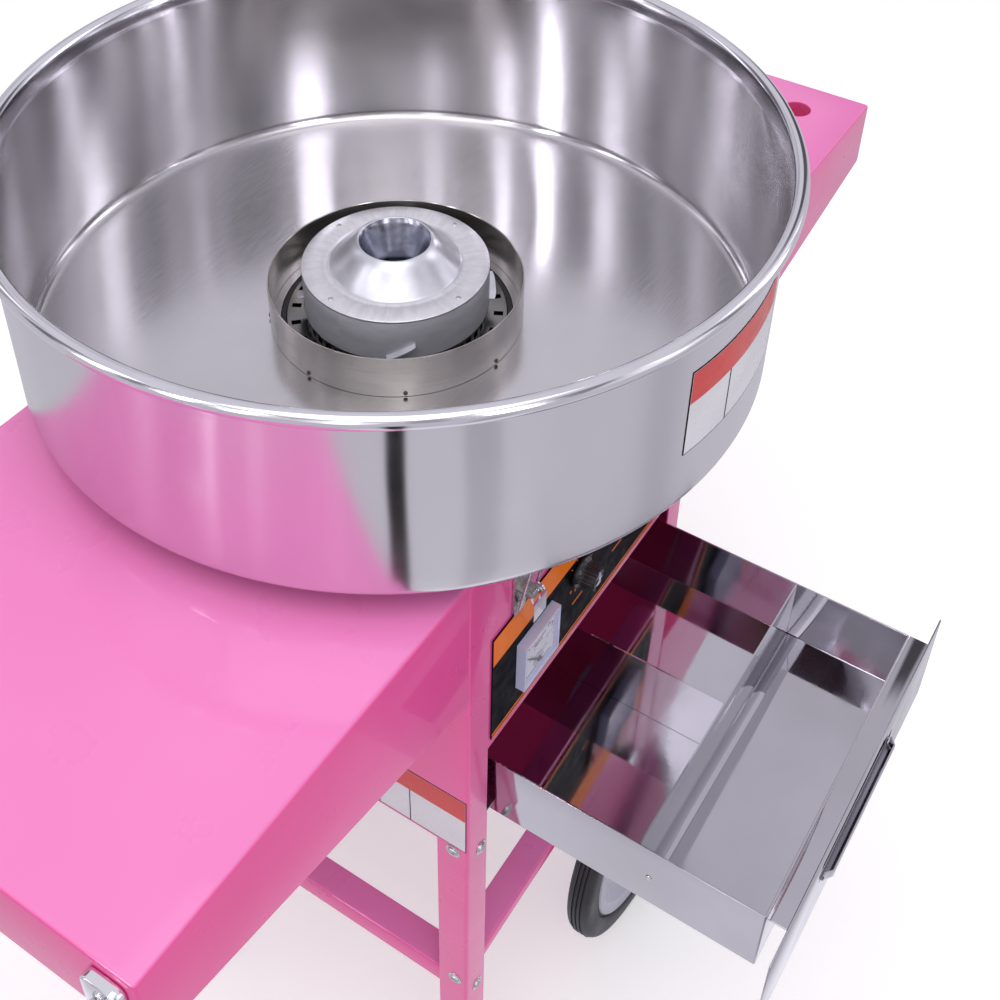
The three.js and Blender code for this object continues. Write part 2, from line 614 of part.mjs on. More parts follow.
function latchBase() {
  const { pinY, pinZ, pin, bottom, plateTop, plateHalf, plateY, earInner, earOuter, nose } = LATCH;
  const root = plateY + 0.9;
  const ear = [[root, pinZ - 2.6 * nose], ...arcPoints(pinY, pinZ, nose, 270, 90, 6), [root, pinZ + nose]];
  const plate = box(-plateHalf, plateHalf, plateY, -GAP, bottom, plateTop);
  const bore = rod('x', pin + 0.4, -plateHalf, plateHalf, 16).translate(0, pinY, pinZ);
  return cut(join(plate, ...bothSides(ear, earInner, earOuter)), bore);
}

function latchLever() {
  const { pinY, pinZ, pin, bottom, cheekInner, cheekOuter, coverY, plateY, bailY, bailZ, wire } = LATCH;
  const [front, back] = [coverY + 1, plateY - 0.7];
  const cheek = [
    [front, bottom], [front, pinZ], [pinY - 2, pinZ + 4], [pinY + 2.5, pinZ + 4],
    [back, bailZ + 4], [back, bailZ - 3], [pinY, bottom],
  ];
  const cover = box(-cheekOuter, cheekOuter, coverY, coverY + SHEET, bottom, pinZ);
  const bailHoles = rod('x', wire / 2 + 0.4, -15, 15, 12).translate(0, bailY, bailZ);
  const hinge = rod('x', pin, -cheekInner - 0.5, cheekInner + 0.5, 12).translate(0, pinY, pinZ);
  return join(cut(join(cover, ...bothSides(cheek, cheekInner, cheekOuter)), bailHoles), hinge);
}

function latchBail() {
  const { bailHalf, bailLength, wire, cheekInner } = LATCH;
  const inner = bailHalf - wire;
  const loop = [
    [bailHalf, -wire / 2], [bailHalf, bailLength], [-bailHalf, bailLength], [-bailHalf, -wire / 2],
    [-inner, -wire / 2], [-inner, bailLength - wire], [inner, bailLength - wire], [inner, -wire / 2],
  ];
  const toe = rod('x', wire / 2 - 0.1, cheekInner + 0.1, inner + wire / 2, 8);
  return join(prism('y', loop, -wire / 2, wire / 2), toe, toe.clone().rotateZ(Math.PI));
}

function addLatch(cart, name, side) {
  const wallY = side < 0 ? PANEL.outerY : CABINET.halfY;
  const latch = group(cart, side * LATCH.x, wallY, 0);
  latch.rotation.z = side > 0 ? Math.PI : 0;
  place(latch, `latch_base_${name}`, latchBase(), ZINC);
  place(latch, `latch_lever_${name}`, latchLever(), ZINC);
  const pivot = group(latch, 0, LATCH.bailY, LATCH.bailZ);
  pivot.rotation.x = LATCH.bailLean;
  place(pivot, `latch_bail_${name}`, latchBail(), ZINC);
}

// ---- the whole cart, standing on Z = 0 and centred on its bounding box ----
const machine = new THREE.Group();
const cart = group(machine, 0, 0, 0);
addCabinet(cart);
addControls(cart);
addFrame(cart);
addDrawer(cart);
place(cart, 'drawer_slide_left', drawerSlide(-1), ZINC);
place(cart, 'drawer_slide_right', drawerSlide(1), ZINC);
addBowl(cart);
addDrive(cart);
addSpinner(cart);
addLatch(cart, 'front', -1);
addLatch(cart, 'back', 1);

machine.updateMatrixWorld(true);
const bounds = new THREE.Box3().setFromObject(machine);
const centre = bounds.getCenter(new THREE.Vector3());
cart.position.set(-centre.x, -centre.y, 0);

export default machine;
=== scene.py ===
import json
import math

import bmesh
import bpy
from mathutils import Euler, Matrix, Vector, noise


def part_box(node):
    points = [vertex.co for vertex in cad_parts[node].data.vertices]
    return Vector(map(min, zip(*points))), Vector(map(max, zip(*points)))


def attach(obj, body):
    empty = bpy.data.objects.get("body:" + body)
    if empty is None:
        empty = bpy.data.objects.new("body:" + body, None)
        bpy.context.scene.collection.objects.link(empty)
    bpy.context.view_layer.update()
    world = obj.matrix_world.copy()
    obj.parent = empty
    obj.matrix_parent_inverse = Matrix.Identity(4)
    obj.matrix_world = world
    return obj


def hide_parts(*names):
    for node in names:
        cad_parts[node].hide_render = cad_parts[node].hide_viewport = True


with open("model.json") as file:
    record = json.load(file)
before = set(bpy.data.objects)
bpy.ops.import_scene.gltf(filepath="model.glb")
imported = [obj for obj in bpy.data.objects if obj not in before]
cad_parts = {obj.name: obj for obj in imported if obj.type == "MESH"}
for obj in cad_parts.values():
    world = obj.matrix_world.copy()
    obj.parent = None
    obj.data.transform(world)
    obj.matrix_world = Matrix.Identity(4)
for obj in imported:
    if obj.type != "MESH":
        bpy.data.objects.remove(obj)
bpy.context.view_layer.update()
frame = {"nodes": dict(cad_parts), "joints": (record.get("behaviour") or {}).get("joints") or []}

NODES = frame["nodes"]
MM = 0.001
TAU = 2 * math.pi


# ---- places, worked out from the frame ----
def middle(node):
    low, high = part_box(node)
    return (low + high) / 2


BOWL_LOW, BOWL_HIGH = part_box("bowl")
AXIS = Vector((middle("bowl").x, middle("bowl").y, 0))
BOWL_BASE = BOWL_LOW.z
BOWL_R = (BOWL_HIGH.x - BOWL_LOW.x) / 2
CAP_LOW, CAP_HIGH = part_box("head_cap")
HEAD_R = (CAP_HIGH.x - CAP_LOW.x) / 2
HEAD_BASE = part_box("heater_ring")[0].z - 2.3 * MM
SHIELD_LOW, SHIELD_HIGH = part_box("shield_ring")
SHIELD_R = (SHIELD_HIGH.x - SHIELD_LOW.x) / 2
FASCIA_LOW, FASCIA_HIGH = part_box("fascia")
PANEL_Y = FASCIA_LOW.y


def polar(radius, degrees, z, centre=AXIS):
    angle = math.radians(degrees)
    return Vector((centre.x + radius * math.cos(angle), centre.y + radius * math.sin(angle), z))


# ---- mesh helpers ----
def new_object(name, mesh):
    piece = bpy.data.objects.new(name, mesh)
    bpy.context.scene.collection.objects.link(piece)
    return piece


def from_bmesh(name, bm, smooth_angle=40):
    bmesh.ops.recalc_face_normals(bm, faces=bm.faces)
    mesh = bpy.data.meshes.new(name)
    bm.to_mesh(mesh)
    bm.free()
    smooth(mesh, smooth_angle)
    return new_object(name, mesh)


def smooth(mesh, degrees=40):
    for face in mesh.polygons:
        face.use_smooth = True
    mesh.set_sharp_from_angle(angle=math.radians(degrees))


def soften(piece, width, segments=2, angle=30):
    bevel = piece.modifiers.new("soft_edges", "BEVEL")
    bevel.width = width
    bevel.segments = segments
    bevel.limit_method = "ANGLE"
    bevel.angle_limit = math.radians(angle)
    bevel.harden_normals = True
    return piece


def bake(piece):
    """Puts the piece's modifiers into its mesh."""
    bpy.context.view_layer.update()
    evaluated = piece.evaluated_get(bpy.context.evaluated_depsgraph_get())
    mesh = bpy.data.meshes.new_from_object(evaluated)
    piece.modifiers.clear()
    piece.data = mesh
    smooth(mesh)
    return piece


def dress(piece, body, material, replaces=()):
    """Gives a new piece its material and body, and hides the CAD parts it replaces."""
    piece.data.materials.clear()
    piece.data.materials.append(material)
    if replaces:
        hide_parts(*replaces)
    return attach(piece, body)


def lathe(name, profile, segments=128, centre=AXIS, axis="Z", smooth_angle=35, warp=None):
    """Turns a profile of (radius, height) points in metres, closed on itself or ending on the axis."""
    bm = bmesh.new()
    on_axis = [radius < 1e-7 for radius, _ in profile]
    rings = []
    for (radius, height), pole in zip(profile, on_axis):
        if pole:
            rings.append([bm.verts.new((0, 0, height))])
            continue
        ring = []
        for i in range(segments):
            angle = TAU * i / segments
            r = radius + (warp(radius, height, angle) if warp else 0)
            ring.append(bm.verts.new((r * math.cos(angle), r * math.sin(angle), height)))
        rings.append(ring)
    closed = not (on_axis[0] and on_axis[-1])
    pairs = list(zip(rings, rings[1:] + rings[:1])) if closed else list(zip(rings, rings[1:]))
    for low, high in pairs:
        for i in range(segments):
            j = (i + 1) % segments
            corners = [low[i % len(low)], low[j % len(low)], high[j % len(high)], high[i % len(high)]]
            corners = list(dict.fromkeys(corners))
            if len(corners) > 2:
                bm.faces.new(corners)
    if axis == "Y":
        bmesh.ops.rotate(bm, verts=bm.verts, matrix=Matrix.Rotation(math.pi / 2, 3, "X"))
    if axis == "X":
        bmesh.ops.rotate(bm, verts=bm.verts, matrix=Matrix.Rotation(math.pi / 2, 3, "Y"))
    bmesh.ops.translate(bm, verts=bm.verts, vec=centre)
    return from_bmesh(name, bm, smooth_angle)


def mm(profile):
    return [(radius * MM, height * MM) for radius, height in profile]


def arc(cx, cy, radius, start, end, steps):
    points = []
    for i in range(steps + 1):
        angle = math.radians(start + (end - start) * i / steps)
        points.append((cx + radius * math.cos(angle), cy + radius * math.sin(angle)))
    return points


def block(name, low, high, bevel=0.0, segments=2):
    bm = bmesh.new()
    bmesh.ops.create_cube(bm, size=1)
    size = Vector(high) - Vector(low)
    bmesh.ops.scale(bm, verts=bm.verts, vec=size)
    bmesh.ops.translate(bm, verts=bm.verts, vec=(Vector(low) + Vector(high)) / 2)
    if bevel:
        bmesh.ops.bevel(bm, geom=bm.edges[:], offset=bevel, segments=segments, profile=0.5, affect="EDGES")
    return from_bmesh(name, bm)


def slab(name, outline, depth, place, bevel=0.0, segments=2, round_corners=0.0):
    """Pulls a flat outline of (a, b) points along its normal; place is the matrix that puts it in the frame."""
    bm = bmesh.new()
    face = bm.faces.new([bm.verts.new((a, b, 0)) for a, b in outline])
    if round_corners:
        bmesh.ops.bevel(bm, geom=bm.verts[:], offset=round_corners, segments=5, profile=0.5, affect="VERTICES")
        face = bm.faces[:][0]
    pulled = bmesh.ops.extrude_face_region(bm, geom=[face])["geom"]
    moved = [v for v in pulled if isinstance(v, bmesh.types.BMVert)]
    bmesh.ops.translate(bm, verts=moved, vec=(0, 0, depth))
    if bevel:
        bmesh.ops.recalc_face_normals(bm, faces=bm.faces)
        sharp = [e for e in bm.edges if len(e.link_faces) == 2 and e.calc_face_angle() > 0.7]
        bmesh.ops.bevel(bm, geom=sharp, offset=bevel, segments=segments, profile=0.5, affect="EDGES")
    bmesh.ops.transform(bm, matrix=place, verts=bm.verts)
    return from_bmesh(name, bm)


def facing(direction, point, up=(0, 0, 1)):
    """Matrix whose local Z looks along direction and whose local Y is as near up as it can be."""
    z = Vector(direction).normalized()
    x = Vector(up).cross(z).normalized()
    y = z.cross(x)
    rotation = Matrix((x, y, z)).transposed().to_4x4()
    return Matrix.Translation(Vector(point)) @ rotation


def outward_from_axis(degrees):
    return polar(1, degrees, 0, Vector())


def on_wall(radius, degrees, z):
    """Matrix on an upright cylinder round the pan's axis, its local Z looking out."""
    return facing(outward_from_axis(degrees), polar(radius, degrees, z))


def section(inner, outer, low, high):
    """The rectangle that turns into a plain ring, or into a disc when inner is 0."""
    return [(inner, low), (outer, low), (outer, high), (inner, high)]


def turned_block(low, high, centre, angle, axis, bevel=0.0):
    """A block swung by angle (radians) round the axis through centre."""
    piece = block("part", low, high, bevel)
    piece.data.transform(Matrix.Translation(centre) @ Matrix.Rotation(angle, 4, axis))
    return piece


def thicken(piece, thickness, offset=0):
    """Gives a skin its metal, about its middle or, with offset -1, behind it."""
    metal = piece.modifiers.new("metal", "SOLIDIFY")
    metal.thickness = thickness
    metal.offset = offset
    metal.use_even_offset = offset != 0
    return bake(piece)


def skin(bm, rows, closed=False):
    """Faces between each row of vertices and the next."""
    for a, b in zip(rows, rows[1:]):
        for k in range(len(a) - (not closed)):
            j = (k + 1) % len(a)
            bm.faces.new([a[k], a[j], b[j], b[k]])


def folded(name, faces, thickness, radius):
    """A sheet-metal part: its outer faces are given, shared edges are folds, and the metal lies behind them."""
    bm = bmesh.new()
    for corners in faces:
        bm.faces.new([bm.verts.new(c) for c in corners])
    bmesh.ops.remove_doubles(bm, verts=bm.verts, dist=1e-5)
    folds = [e for e in bm.edges if len(e.link_faces) == 2]
    bmesh.ops.bevel(bm, geom=folds, offset=radius, segments=4, profile=0.5, affect="EDGES")
    mesh = bpy.data.meshes.new(name)
    bm.to_mesh(mesh)
    bm.free()
    return thicken(new_object(name, mesh), thickness, -1)


def cut_out(piece, cutters):
    """Cuts the closed cutter objects out of the piece and throws them away."""
    for cutter in cutters:
        hole = piece.modifiers.new("hole", "BOOLEAN")
        hole.operation = "DIFFERENCE"
        hole.object = cutter
        hole.solver = "EXACT"
    bake(piece)
    for cutter in cutters:
        bpy.data.objects.remove(cutter)
    return piece


def joined(name, pieces):
    """Joins separate solids into one object."""
    bm = bmesh.new()
    for piece in pieces:
        piece.data.transform(piece.matrix_world)
        bm.from_mesh(piece.data)
        bpy.data.objects.remove(piece)
    mesh = bpy.data.meshes.new(name)
    bm.to_mesh(mesh)
    bm.free()
    smooth(mesh)
    return new_object(name, mesh)


def tube(name, points, radius, sides=24):
    """A round bar along the given points, with flat ends."""
    curve = bpy.data.curves.new(name, "CURVE")
    curve.dimensions = "3D"
    curve.bevel_depth = radius
    curve.bevel_resolution = sides // 4
    curve.use_fill_caps = True
    line = curve.splines.new("POLY")
    line.points.add(len(points) - 1)
    for target, point in zip(line.points, points):
        target.co = (*point, 1)
    piece = new_object(name, curve)
    bpy.context.view_layer.update()
    mesh = bpy.data.meshes.new_from_object(piece.evaluated_get(bpy.context.evaluated_depsgraph_get()))
    bpy.data.objects.remove(piece)
    smooth(mesh)
    return new_object(name, mesh)


def rounded_path(corners, radius, steps=10):
    """The corner points joined by straight runs, each inner corner turned on a smooth bend."""
    points = [Vector(corners[0])]
    for before, corner, after in zip(corners, corners[1:], corners[2:]):
        before, corner, after = Vector(before), Vector(corner), Vector(after)
        start = corner + (before - corner).normalized() * radius
        end = corner + (after - corner).normalized() * radius
        for i in range(steps + 1):
            t = i / steps
            points.append(start * (1 - t) ** 2 + corner * (2 * t * (1 - t)) + end * t * t)
    points.append(Vector(corners[-1]))
    return points


# ---- materials ----
class Recipe:
    """Short calls that add shader nodes to a tree."""

    def __init__(self, tree):
        self.tree = tree

    def node(self, kind, inputs=None, **settings):
        made = self.tree.nodes.new("ShaderNode" + kind)
        for key, value in settings.items():
            setattr(made, key, value)
        for key, value in (inputs or {}).items():
            self.feed(made.inputs[key], value)
        return made

    def feed(self, socket, value):
        if isinstance(value, bpy.types.NodeSocket):
            self.tree.links.new(value, socket)
        else:
            socket.default_value = value

    def math(self, operation, a, b=0.0):
        return self.node("Math", {0: a, 1: b}, operation=operation).outputs[0]

    def spread(self, value, low, high, start=0.3, end=0.7, kind="LINEAR"):
        inputs = {"Value": value, "From Min": start, "From Max": end, "To Min": low, "To Max": high}
        return self.node("MapRange", inputs, interpolation_type=kind).outputs[0]

    def blend(self, factor, a, b):
        made = self.node("Mix", data_type="RGBA")
        self.feed(made.inputs[0], factor)
        self.feed(made.inputs[6], a)
        self.feed(made.inputs[7], b)
        return made.outputs[2]


class Finish(Recipe):
    """A Principled material built from procedural nodes in object coordinates (metres)."""

    def __init__(self, name, **values):
        self.material = bpy.data.materials.new(name)
        self.material.use_nodes = True
        super().__init__(self.material.node_tree)
        self.shader = self.tree.nodes["Principled BSDF"]
        self.place = self.tree.nodes.new("ShaderNodeTexCoord").outputs["Object"]
        self.around = None
        for socket, value in values.items():
            self.shader.inputs[socket.replace("_", " ")].default_value = value

    def noise(self, scale, stretch=(1, 1, 1), detail=3.0, where=None, rough=0.5):
        mapped = self.node("Mapping", {"Vector": where or self.place, "Scale": stretch}).outputs[0]
        made = self.node("TexNoise", {"Vector": mapped, "Scale": scale, "Detail": detail, "Roughness": rough})
        return made.outputs["Fac"]

    def turned_place(self):
        """(angle in turns, radius, height) about the pan's axis."""
        shifted = self.node("VectorMath", {0: self.place, 1: AXIS}, operation="SUBTRACT").outputs[0]
        angle = self.node("TexGradient", {"Vector": shifted}, gradient_type="RADIAL").outputs["Fac"]
        split = self.node("SeparateXYZ", {0: shifted})
        flat = self.node("CombineXYZ", {0: split.outputs[0], 1: split.outputs[1]}).outputs[0]
        radius = self.node("VectorMath", {0: flat}, operation="LENGTH").outputs["Value"]
        return self.node("CombineXYZ", {0: angle, 1: radius, 2: split.outputs[2]}).outputs[0]

    def noise_round(self, turns, radial, upright, detail=3.0, rough=0.5):
        """Noise laid out round the pan's axis, with a scale along each of its three directions."""
        if self.around is None:
            self.around = self.turned_place()
        return self.noise(1, (turns, radial, upright), detail, self.around, rough)

    def grain_round(self):
        """Runs the anisotropic grain round the vertical."""
        self.shader.inputs["Anisotropic Rotation"].default_value = 0.25
        tangent = self.node("Tangent", direction_type="RADIAL", axis="Z").outputs[0]
        self.feed(self.shader.inputs["Tangent"], tangent)

    def colour(self, value):
        self.feed(self.shader.inputs["Base Color"], value)

    def patches(self, noise_value, low, high, start=0.3, end=0.7):
        """Colours the noise from low to high, with all of the change between start and end."""
        self.colour(self.blend(self.spread(noise_value, 0, 1, start, end), low, high))

    def rough(self, value):
        self.feed(self.shader.inputs["Roughness"], value)

    def bump(self, height, strength, distance):
        inputs = {"Height": height, "Strength": strength, "Distance": distance}
        if self.shader.inputs["Normal"].links:
            inputs["Normal"] = self.shader.inputs["Normal"].links[0].from_socket
        self.feed(self.shader.inputs["Normal"], self.node("Bump", inputs).outputs[0])


def rgb(red, green, blue):
    return (red, green, blue, 1.0)


def even_finish(name, patches, dark, light, sheen, grain, **values):
    """Soft patches of two colours. The patches, the sheen and the grain each start with their noise scale."""
    f = Finish(name, **values)
    scale, detail = patches
    f.colour(f.blend(f.noise(scale, detail=detail), dark, light))
    scale, smoothest, dullest = sheen
    f.rough(f.spread(f.noise(scale, detail=4), smoothest, dullest))
    scale, detail, strength, distance = grain
    f.bump(f.noise(scale, detail=detail), strength, distance)
    return f.material


def powder_pink():
    """Gloss powder coat, its faces that look up painted paler and whiter as painted light from above."""
    f = Finish("powder_pink", Coat_Weight=0.5, Coat_Roughness=0.05)
    f.shader.inputs["Specular IOR Level"].default_value = 0.3
    drift = f.spread(f.noise(6, detail=2), 0, 1)
    side_pink = f.blend(drift, rgb(0.86, 0.08, 0.33), rgb(0.90, 0.095, 0.37))
    lit_top_pink = f.blend(drift, rgb(0.89, 0.23, 0.55), rgb(0.92, 0.26, 0.59))
    upward = f.node("SeparateXYZ", {0: f.node("NewGeometry").outputs["Normal"]}).outputs["Z"]
    # painted light: the faces that look up blend to a paler pink, a painted highlight from the light overhead
    f.colour(f.blend(f.spread(upward, 0, 1, 0.5, 0.95), side_pink, lit_top_pink))
    f.rough(f.spread(f.noise(30, detail=4), 0.26, 0.36))
    f.bump(f.noise(900, detail=1), 0.012, 0.0002)
    return f.material


def polished_steel(name, dark, light, smoothest, dullest):
    """The pan's wall: spun and polished, so fine lines round it draw reflections out upright."""
    f = Finish(name, Metallic=1.0, Anisotropic=1.0)
    f.grain_round()
    tint = f.noise_round(9, 0, 3, detail=3)
    f.patches(tint, dark, light)
    f.rough(f.spread(f.noise_round(14, 0, 20, detail=4), smoothest, dullest))
    f.bump(f.noise_round(3, 0, 1500, detail=2), 0.02, 0.0002)
    f.bump(f.noise_round(30, 0, 4, detail=2), 0.1, 0.0015)
    return f.material


def brushed_floor():
    """The pan's floor: satin sheet with faint wipe marks."""
    f = Finish("brushed_floor", Metallic=1.0)
    f.patches(f.noise(5, detail=4), rgb(0.58, 0.565, 0.58), rgb(0.69, 0.675, 0.70))
    f.rough(f.spread(f.noise(60, stretch=(1, 14, 1), detail=4), 0.17, 0.26))
    f.bump(f.noise(160, stretch=(1, 26, 1), detail=3), 0.025, 0.0003)
    f.bump(f.noise(14, detail=2), 0.015, 0.002)
    return f.material


def ring_steel(name="ring_steel", light=rgb(0.62, 0.595, 0.56), dark=rgb(0.46, 0.435, 0.40)):
    """Satin sheet rolled into a ring, its grain running round it."""
    f = Finish(name, Metallic=1.0, Anisotropic=0.8)
    f.grain_round()
    f.patches(f.noise_round(5, 0, 40, detail=4), dark, light)
    f.rough(f.spread(f.noise_round(4, 0, 900, detail=2), 0.16, 0.24))
    f.bump(f.noise_round(5, 30, 2200, detail=2), 0.03, 0.0002)
    return f.material


def faced_aluminium():
    """The cap's flat: cast, faced on a lathe and scuffed outward."""
    f = Finish("faced_aluminium", Metallic=0.85)
    scuffs = f.noise_round(70, 60, 0, detail=4, rough=0.7)
    f.patches(scuffs, rgb(0.68, 0.67, 0.70), rgb(0.86, 0.85, 0.88), 0.35, 0.8)
    f.rough(f.spread(f.noise(70, detail=5), 0.34, 0.5))
    f.bump(scuffs, 0.12, 0.0004)
    f.bump(f.noise(260, detail=4), 0.12, 0.0003)
    return f.material


def spun_aluminium():
    f = Finish("spun_aluminium", Metallic=0.9)
    lines = f.noise_round(2, 1500, 900, detail=2)
    f.patches(f.noise(45, detail=4), rgb(0.58, 0.58, 0.62), rgb(0.76, 0.76, 0.80))
    f.rough(f.spread(lines, 0.28, 0.34))
    f.bump(lines, 0.003, 0.0002)
    return f.material


def funnel_aluminium():
    """The funnel's inside: burnished by the sugar and darkened by its syrup."""
    f = Finish("funnel_aluminium", Metallic=1.0)
    film = f.noise_round(5, 40, 90, detail=4)
    f.patches(film, rgb(0.24, 0.245, 0.29), rgb(0.42, 0.43, 0.49))
    f.rough(f.spread(film, 0.14, 0.26))
    f.bump(f.noise(90, detail=3), 0.04, 0.0004)
    return f.material


def band_aluminium():
    """The cup's side: turned, dull and a little sooty."""
    f = Finish("band_aluminium", Metallic=0.5)
    soot = f.noise_round(7, 30, 60, detail=5, rough=0.65)
    f.patches(soot, rgb(0.64, 0.64, 0.70), rgb(0.42, 0.42, 0.46), 0.35, 0.75)
    f.rough(f.spread(soot, 0.3, 0.48))
    f.bump(f.noise_round(3, 10, 1300, detail=2), 0.05, 0.0003)
    return f.material


def mirror_sheet():
    """Mirror-finish stainless sheet with wipe marks and the odd scratch."""
    f = Finish("mirror_sheet", Metallic=1.0)
    f.patches(f.noise(7, detail=4), rgb(0.44, 0.43, 0.46), rgb(0.54, 0.525, 0.57))
    smears = f.noise(16, stretch=(1, 3, 1), detail=5, rough=0.6)
    f.rough(f.spread(smears, 0.025, 0.12, 0.35, 0.8))
    f.bump(f.noise(10, detail=1), 0.05, 0.004)
    f.bump(f.noise(700, stretch=(1, 0.05, 1), detail=1), 0.015, 0.0002)
    return f.material


def zinc():
    f = Finish("zinc", Metallic=1.0)
    flakes = f.node("TexVoronoi", {"Vector": f.place, "Scale": 260.0}).outputs["Distance"]
    f.patches(flakes, rgb(0.46, 0.46, 0.45), rgb(0.66, 0.66, 0.66), 0.1, 0.8)
    f.rough(f.spread(f.noise(180, detail=4), 0.2, 0.38))
    f.bump(f.noise(320, detail=3), 0.08, 0.0003)
    return f.material


def moulding(name, colour, rough, depth=0.08, fade=0.85):
    """Moulded plastic with a fine spark-eroded grain and slight wear."""
    f = Finish(name)
    worn = tuple(c * fade for c in colour[:3]) + (1.0,)
    f.patches(f.noise(24, detail=4), colour, worn)
    f.rough(f.spread(f.noise(90, detail=4), rough * 0.8, rough * 1.25))
    f.bump(f.noise(520, detail=2), depth, 0.0003)
    return f.material


def rubber():
    f = Finish("rubber")
    dust = f.noise(28, detail=5, rough=0.65)
    f.patches(dust, rgb(0.012, 0.012, 0.015), rgb(0.045, 0.044, 0.05), 0.4, 0.8)
    f.rough(f.spread(dust, 0.42, 0.66))
    f.bump(f.noise(380, detail=3), 0.12, 0.0004)
    return f.material


def printed_film(name, colour, rough=0.3, gloss=0.4):
    f = Finish(name)
    f.shader.inputs["Specular IOR Level"].default_value = gloss
    f.patches(f.noise(20), colour, tuple(c * 0.9 for c in colour[:3]) + (1.0,))
    f.rough(f.spread(f.noise(110, detail=4), rough * 0.8, rough * 1.3))
    f.bump(f.noise(900, detail=1), 0.01, 0.0002)
    return f.material


def window():
    f = Finish("window", IOR=1.46, Transmission_Weight=0.92, Alpha=0.16)
    f.colour(rgb(0.86, 0.87, 0.98))
    f.rough(f.spread(f.noise(70, detail=4), 0.02, 0.08))
    f.bump(f.noise(30), 0.02, 0.0003)
    return f.material


def brass():
    f = Finish("brass", Metallic=1.0)
    f.colour(f.blend(f.noise(60, detail=4), rgb(0.62, 0.42, 0.16), rgb(0.72, 0.53, 0.25)))
    f.rough(f.spread(f.noise_round(2, 900, 900), 0.18, 0.34))
    f.bump(f.noise(400, detail=2), 0.05, 0.0002)
    return f.material


PINK = powder_pink()
WALL = polished_steel("wall_inside", rgb(0.50, 0.485, 0.50), rgb(0.64, 0.625, 0.64), 0.12, 0.18)
OUTER = polished_steel("wall_outside", rgb(0.64, 0.625, 0.66), rgb(0.74, 0.725, 0.76), 0.11, 0.17)
FLOOR_STEEL = brushed_floor()
BEAD = even_finish("bright_bead", (40, 3), rgb(0.68, 0.67, 0.71), rgb(0.8, 0.79, 0.83),
                   (50, 0.07, 0.15), (18, 2, 0.05, 0.001), Metallic=1.0)
RING = ring_steel()
VENT = ring_steel("vent_steel", rgb(0.26, 0.255, 0.25), rgb(0.16, 0.155, 0.15))
FACED = faced_aluminium()
SPUN = spun_aluminium()
FUNNEL = funnel_aluminium()
BAND = band_aluminium()
MIRROR = mirror_sheet()
CHROME = even_finish("chrome", (30, 3), rgb(0.78, 0.78, 0.81), rgb(0.86, 0.86, 0.88),
                     (60, 0.04, 0.1), (35, 2, 0.03, 0.001), Metallic=1.0)
ZINC = zinc()
BLACK = moulding("black_moulding", rgb(0.012, 0.012, 0.014), 0.3)
WHITE = moulding("white_moulding", rgb(0.66, 0.66, 0.90), 0.22, depth=0.03, fade=0.94)
GREY = moulding("grey_moulding", rgb(0.50, 0.49, 0.58), 0.4, depth=0.05)
RED = moulding("red_moulding", rgb(0.50, 0.012, 0.012), 0.2, depth=0.02)
RUBBER = rubber()
FILM_BLACK = printed_film("film_black", rgb(0.002, 0.0022, 0.003), 0.42, 0.05)
FILM_ORANGE = printed_film("film_orange", rgb(1.0, 0.22, 0.015), 0.35, 0.2)
FILM_WHITE = printed_film("film_white", rgb(0.80, 0.79, 0.84))
FILM_RED = printed_film("film_red", rgb(0.72, 0.045, 0.04))
WINDOW = window()
ENAMEL = even_finish("motor_enamel", (30, 4), rgb(0.05, 0.055, 0.06), rgb(0.09, 0.095, 0.1),
                     (80, 0.35, 0.55), (240, 3, 0.15, 0.0004), Metallic=0.2)
CERAMIC = even_finish("ceramic", (90, 5), rgb(0.62, 0.57, 0.48), rgb(0.78, 0.74, 0.66),
                      (200, 0.7, 0.9), (500, 4, 0.25, 0.0004))
BRASS = brass()
SOOT = moulding("dark_rivet", rgb(0.10, 0.055, 0.03), 0.5)

# finish, width (mm) and segments of the edges' bevel, and the CAD nodes that keep their own mesh
KEPT = (
    (PINK, 0.6, 2, "cabinet_top cabinet_back cabinet_front"),
    (MIRROR, 0.25, 2, "divider_cross divider_long"),
    (ZINC, 0.3, 2, "bowl_catch_front bowl_catch_back latch_base_front latch_base_back"),
    (ZINC, 0.4, 2, "drawer_slide_left drawer_slide_right"),
    (ZINC, 0.6, 2, "motor_shaft"),
    (ZINC, 0.8, 2, "axle"),
    (CHROME, 0.35, 2, "latch_lever_front latch_lever_back"),
    (CERAMIC, 0.8, 2, "heater_ring"),
    (BRASS, 0.5, 2, "slip_ring"),
    (ENAMEL, 1.2, 3, "motor"),
    (RUBBER, 1.2, 3, "bowl_seat"),
    (RUBBER, 1.6, 3, "foot_front foot_back"),
    (FILM_BLACK, 0.25, 2, "fascia"),
    (WHITE, 1.6, 3, "meter_case"),
    (FILM_WHITE, 0.1, 2, "meter_dial"),
    (WINDOW, 0.5, 2, "meter_window"),
    (BLACK, 0.08, 2, "meter_needle"),
    (BLACK, 0.5, 2, "heat_regulator switch_housing power_inlet"),
    (BLACK, 0.6, 2, "brush_holder"),
    (RED, 0.5, 2, "rocker"),
)


def paint_cad_nodes():
    for material, width, segments, names in KEPT:
        for name in names.split():
            piece = NODES[name]
            piece.data.materials.clear()
            piece.data.materials.append(material)
            soften(piece, width * MM, segments)


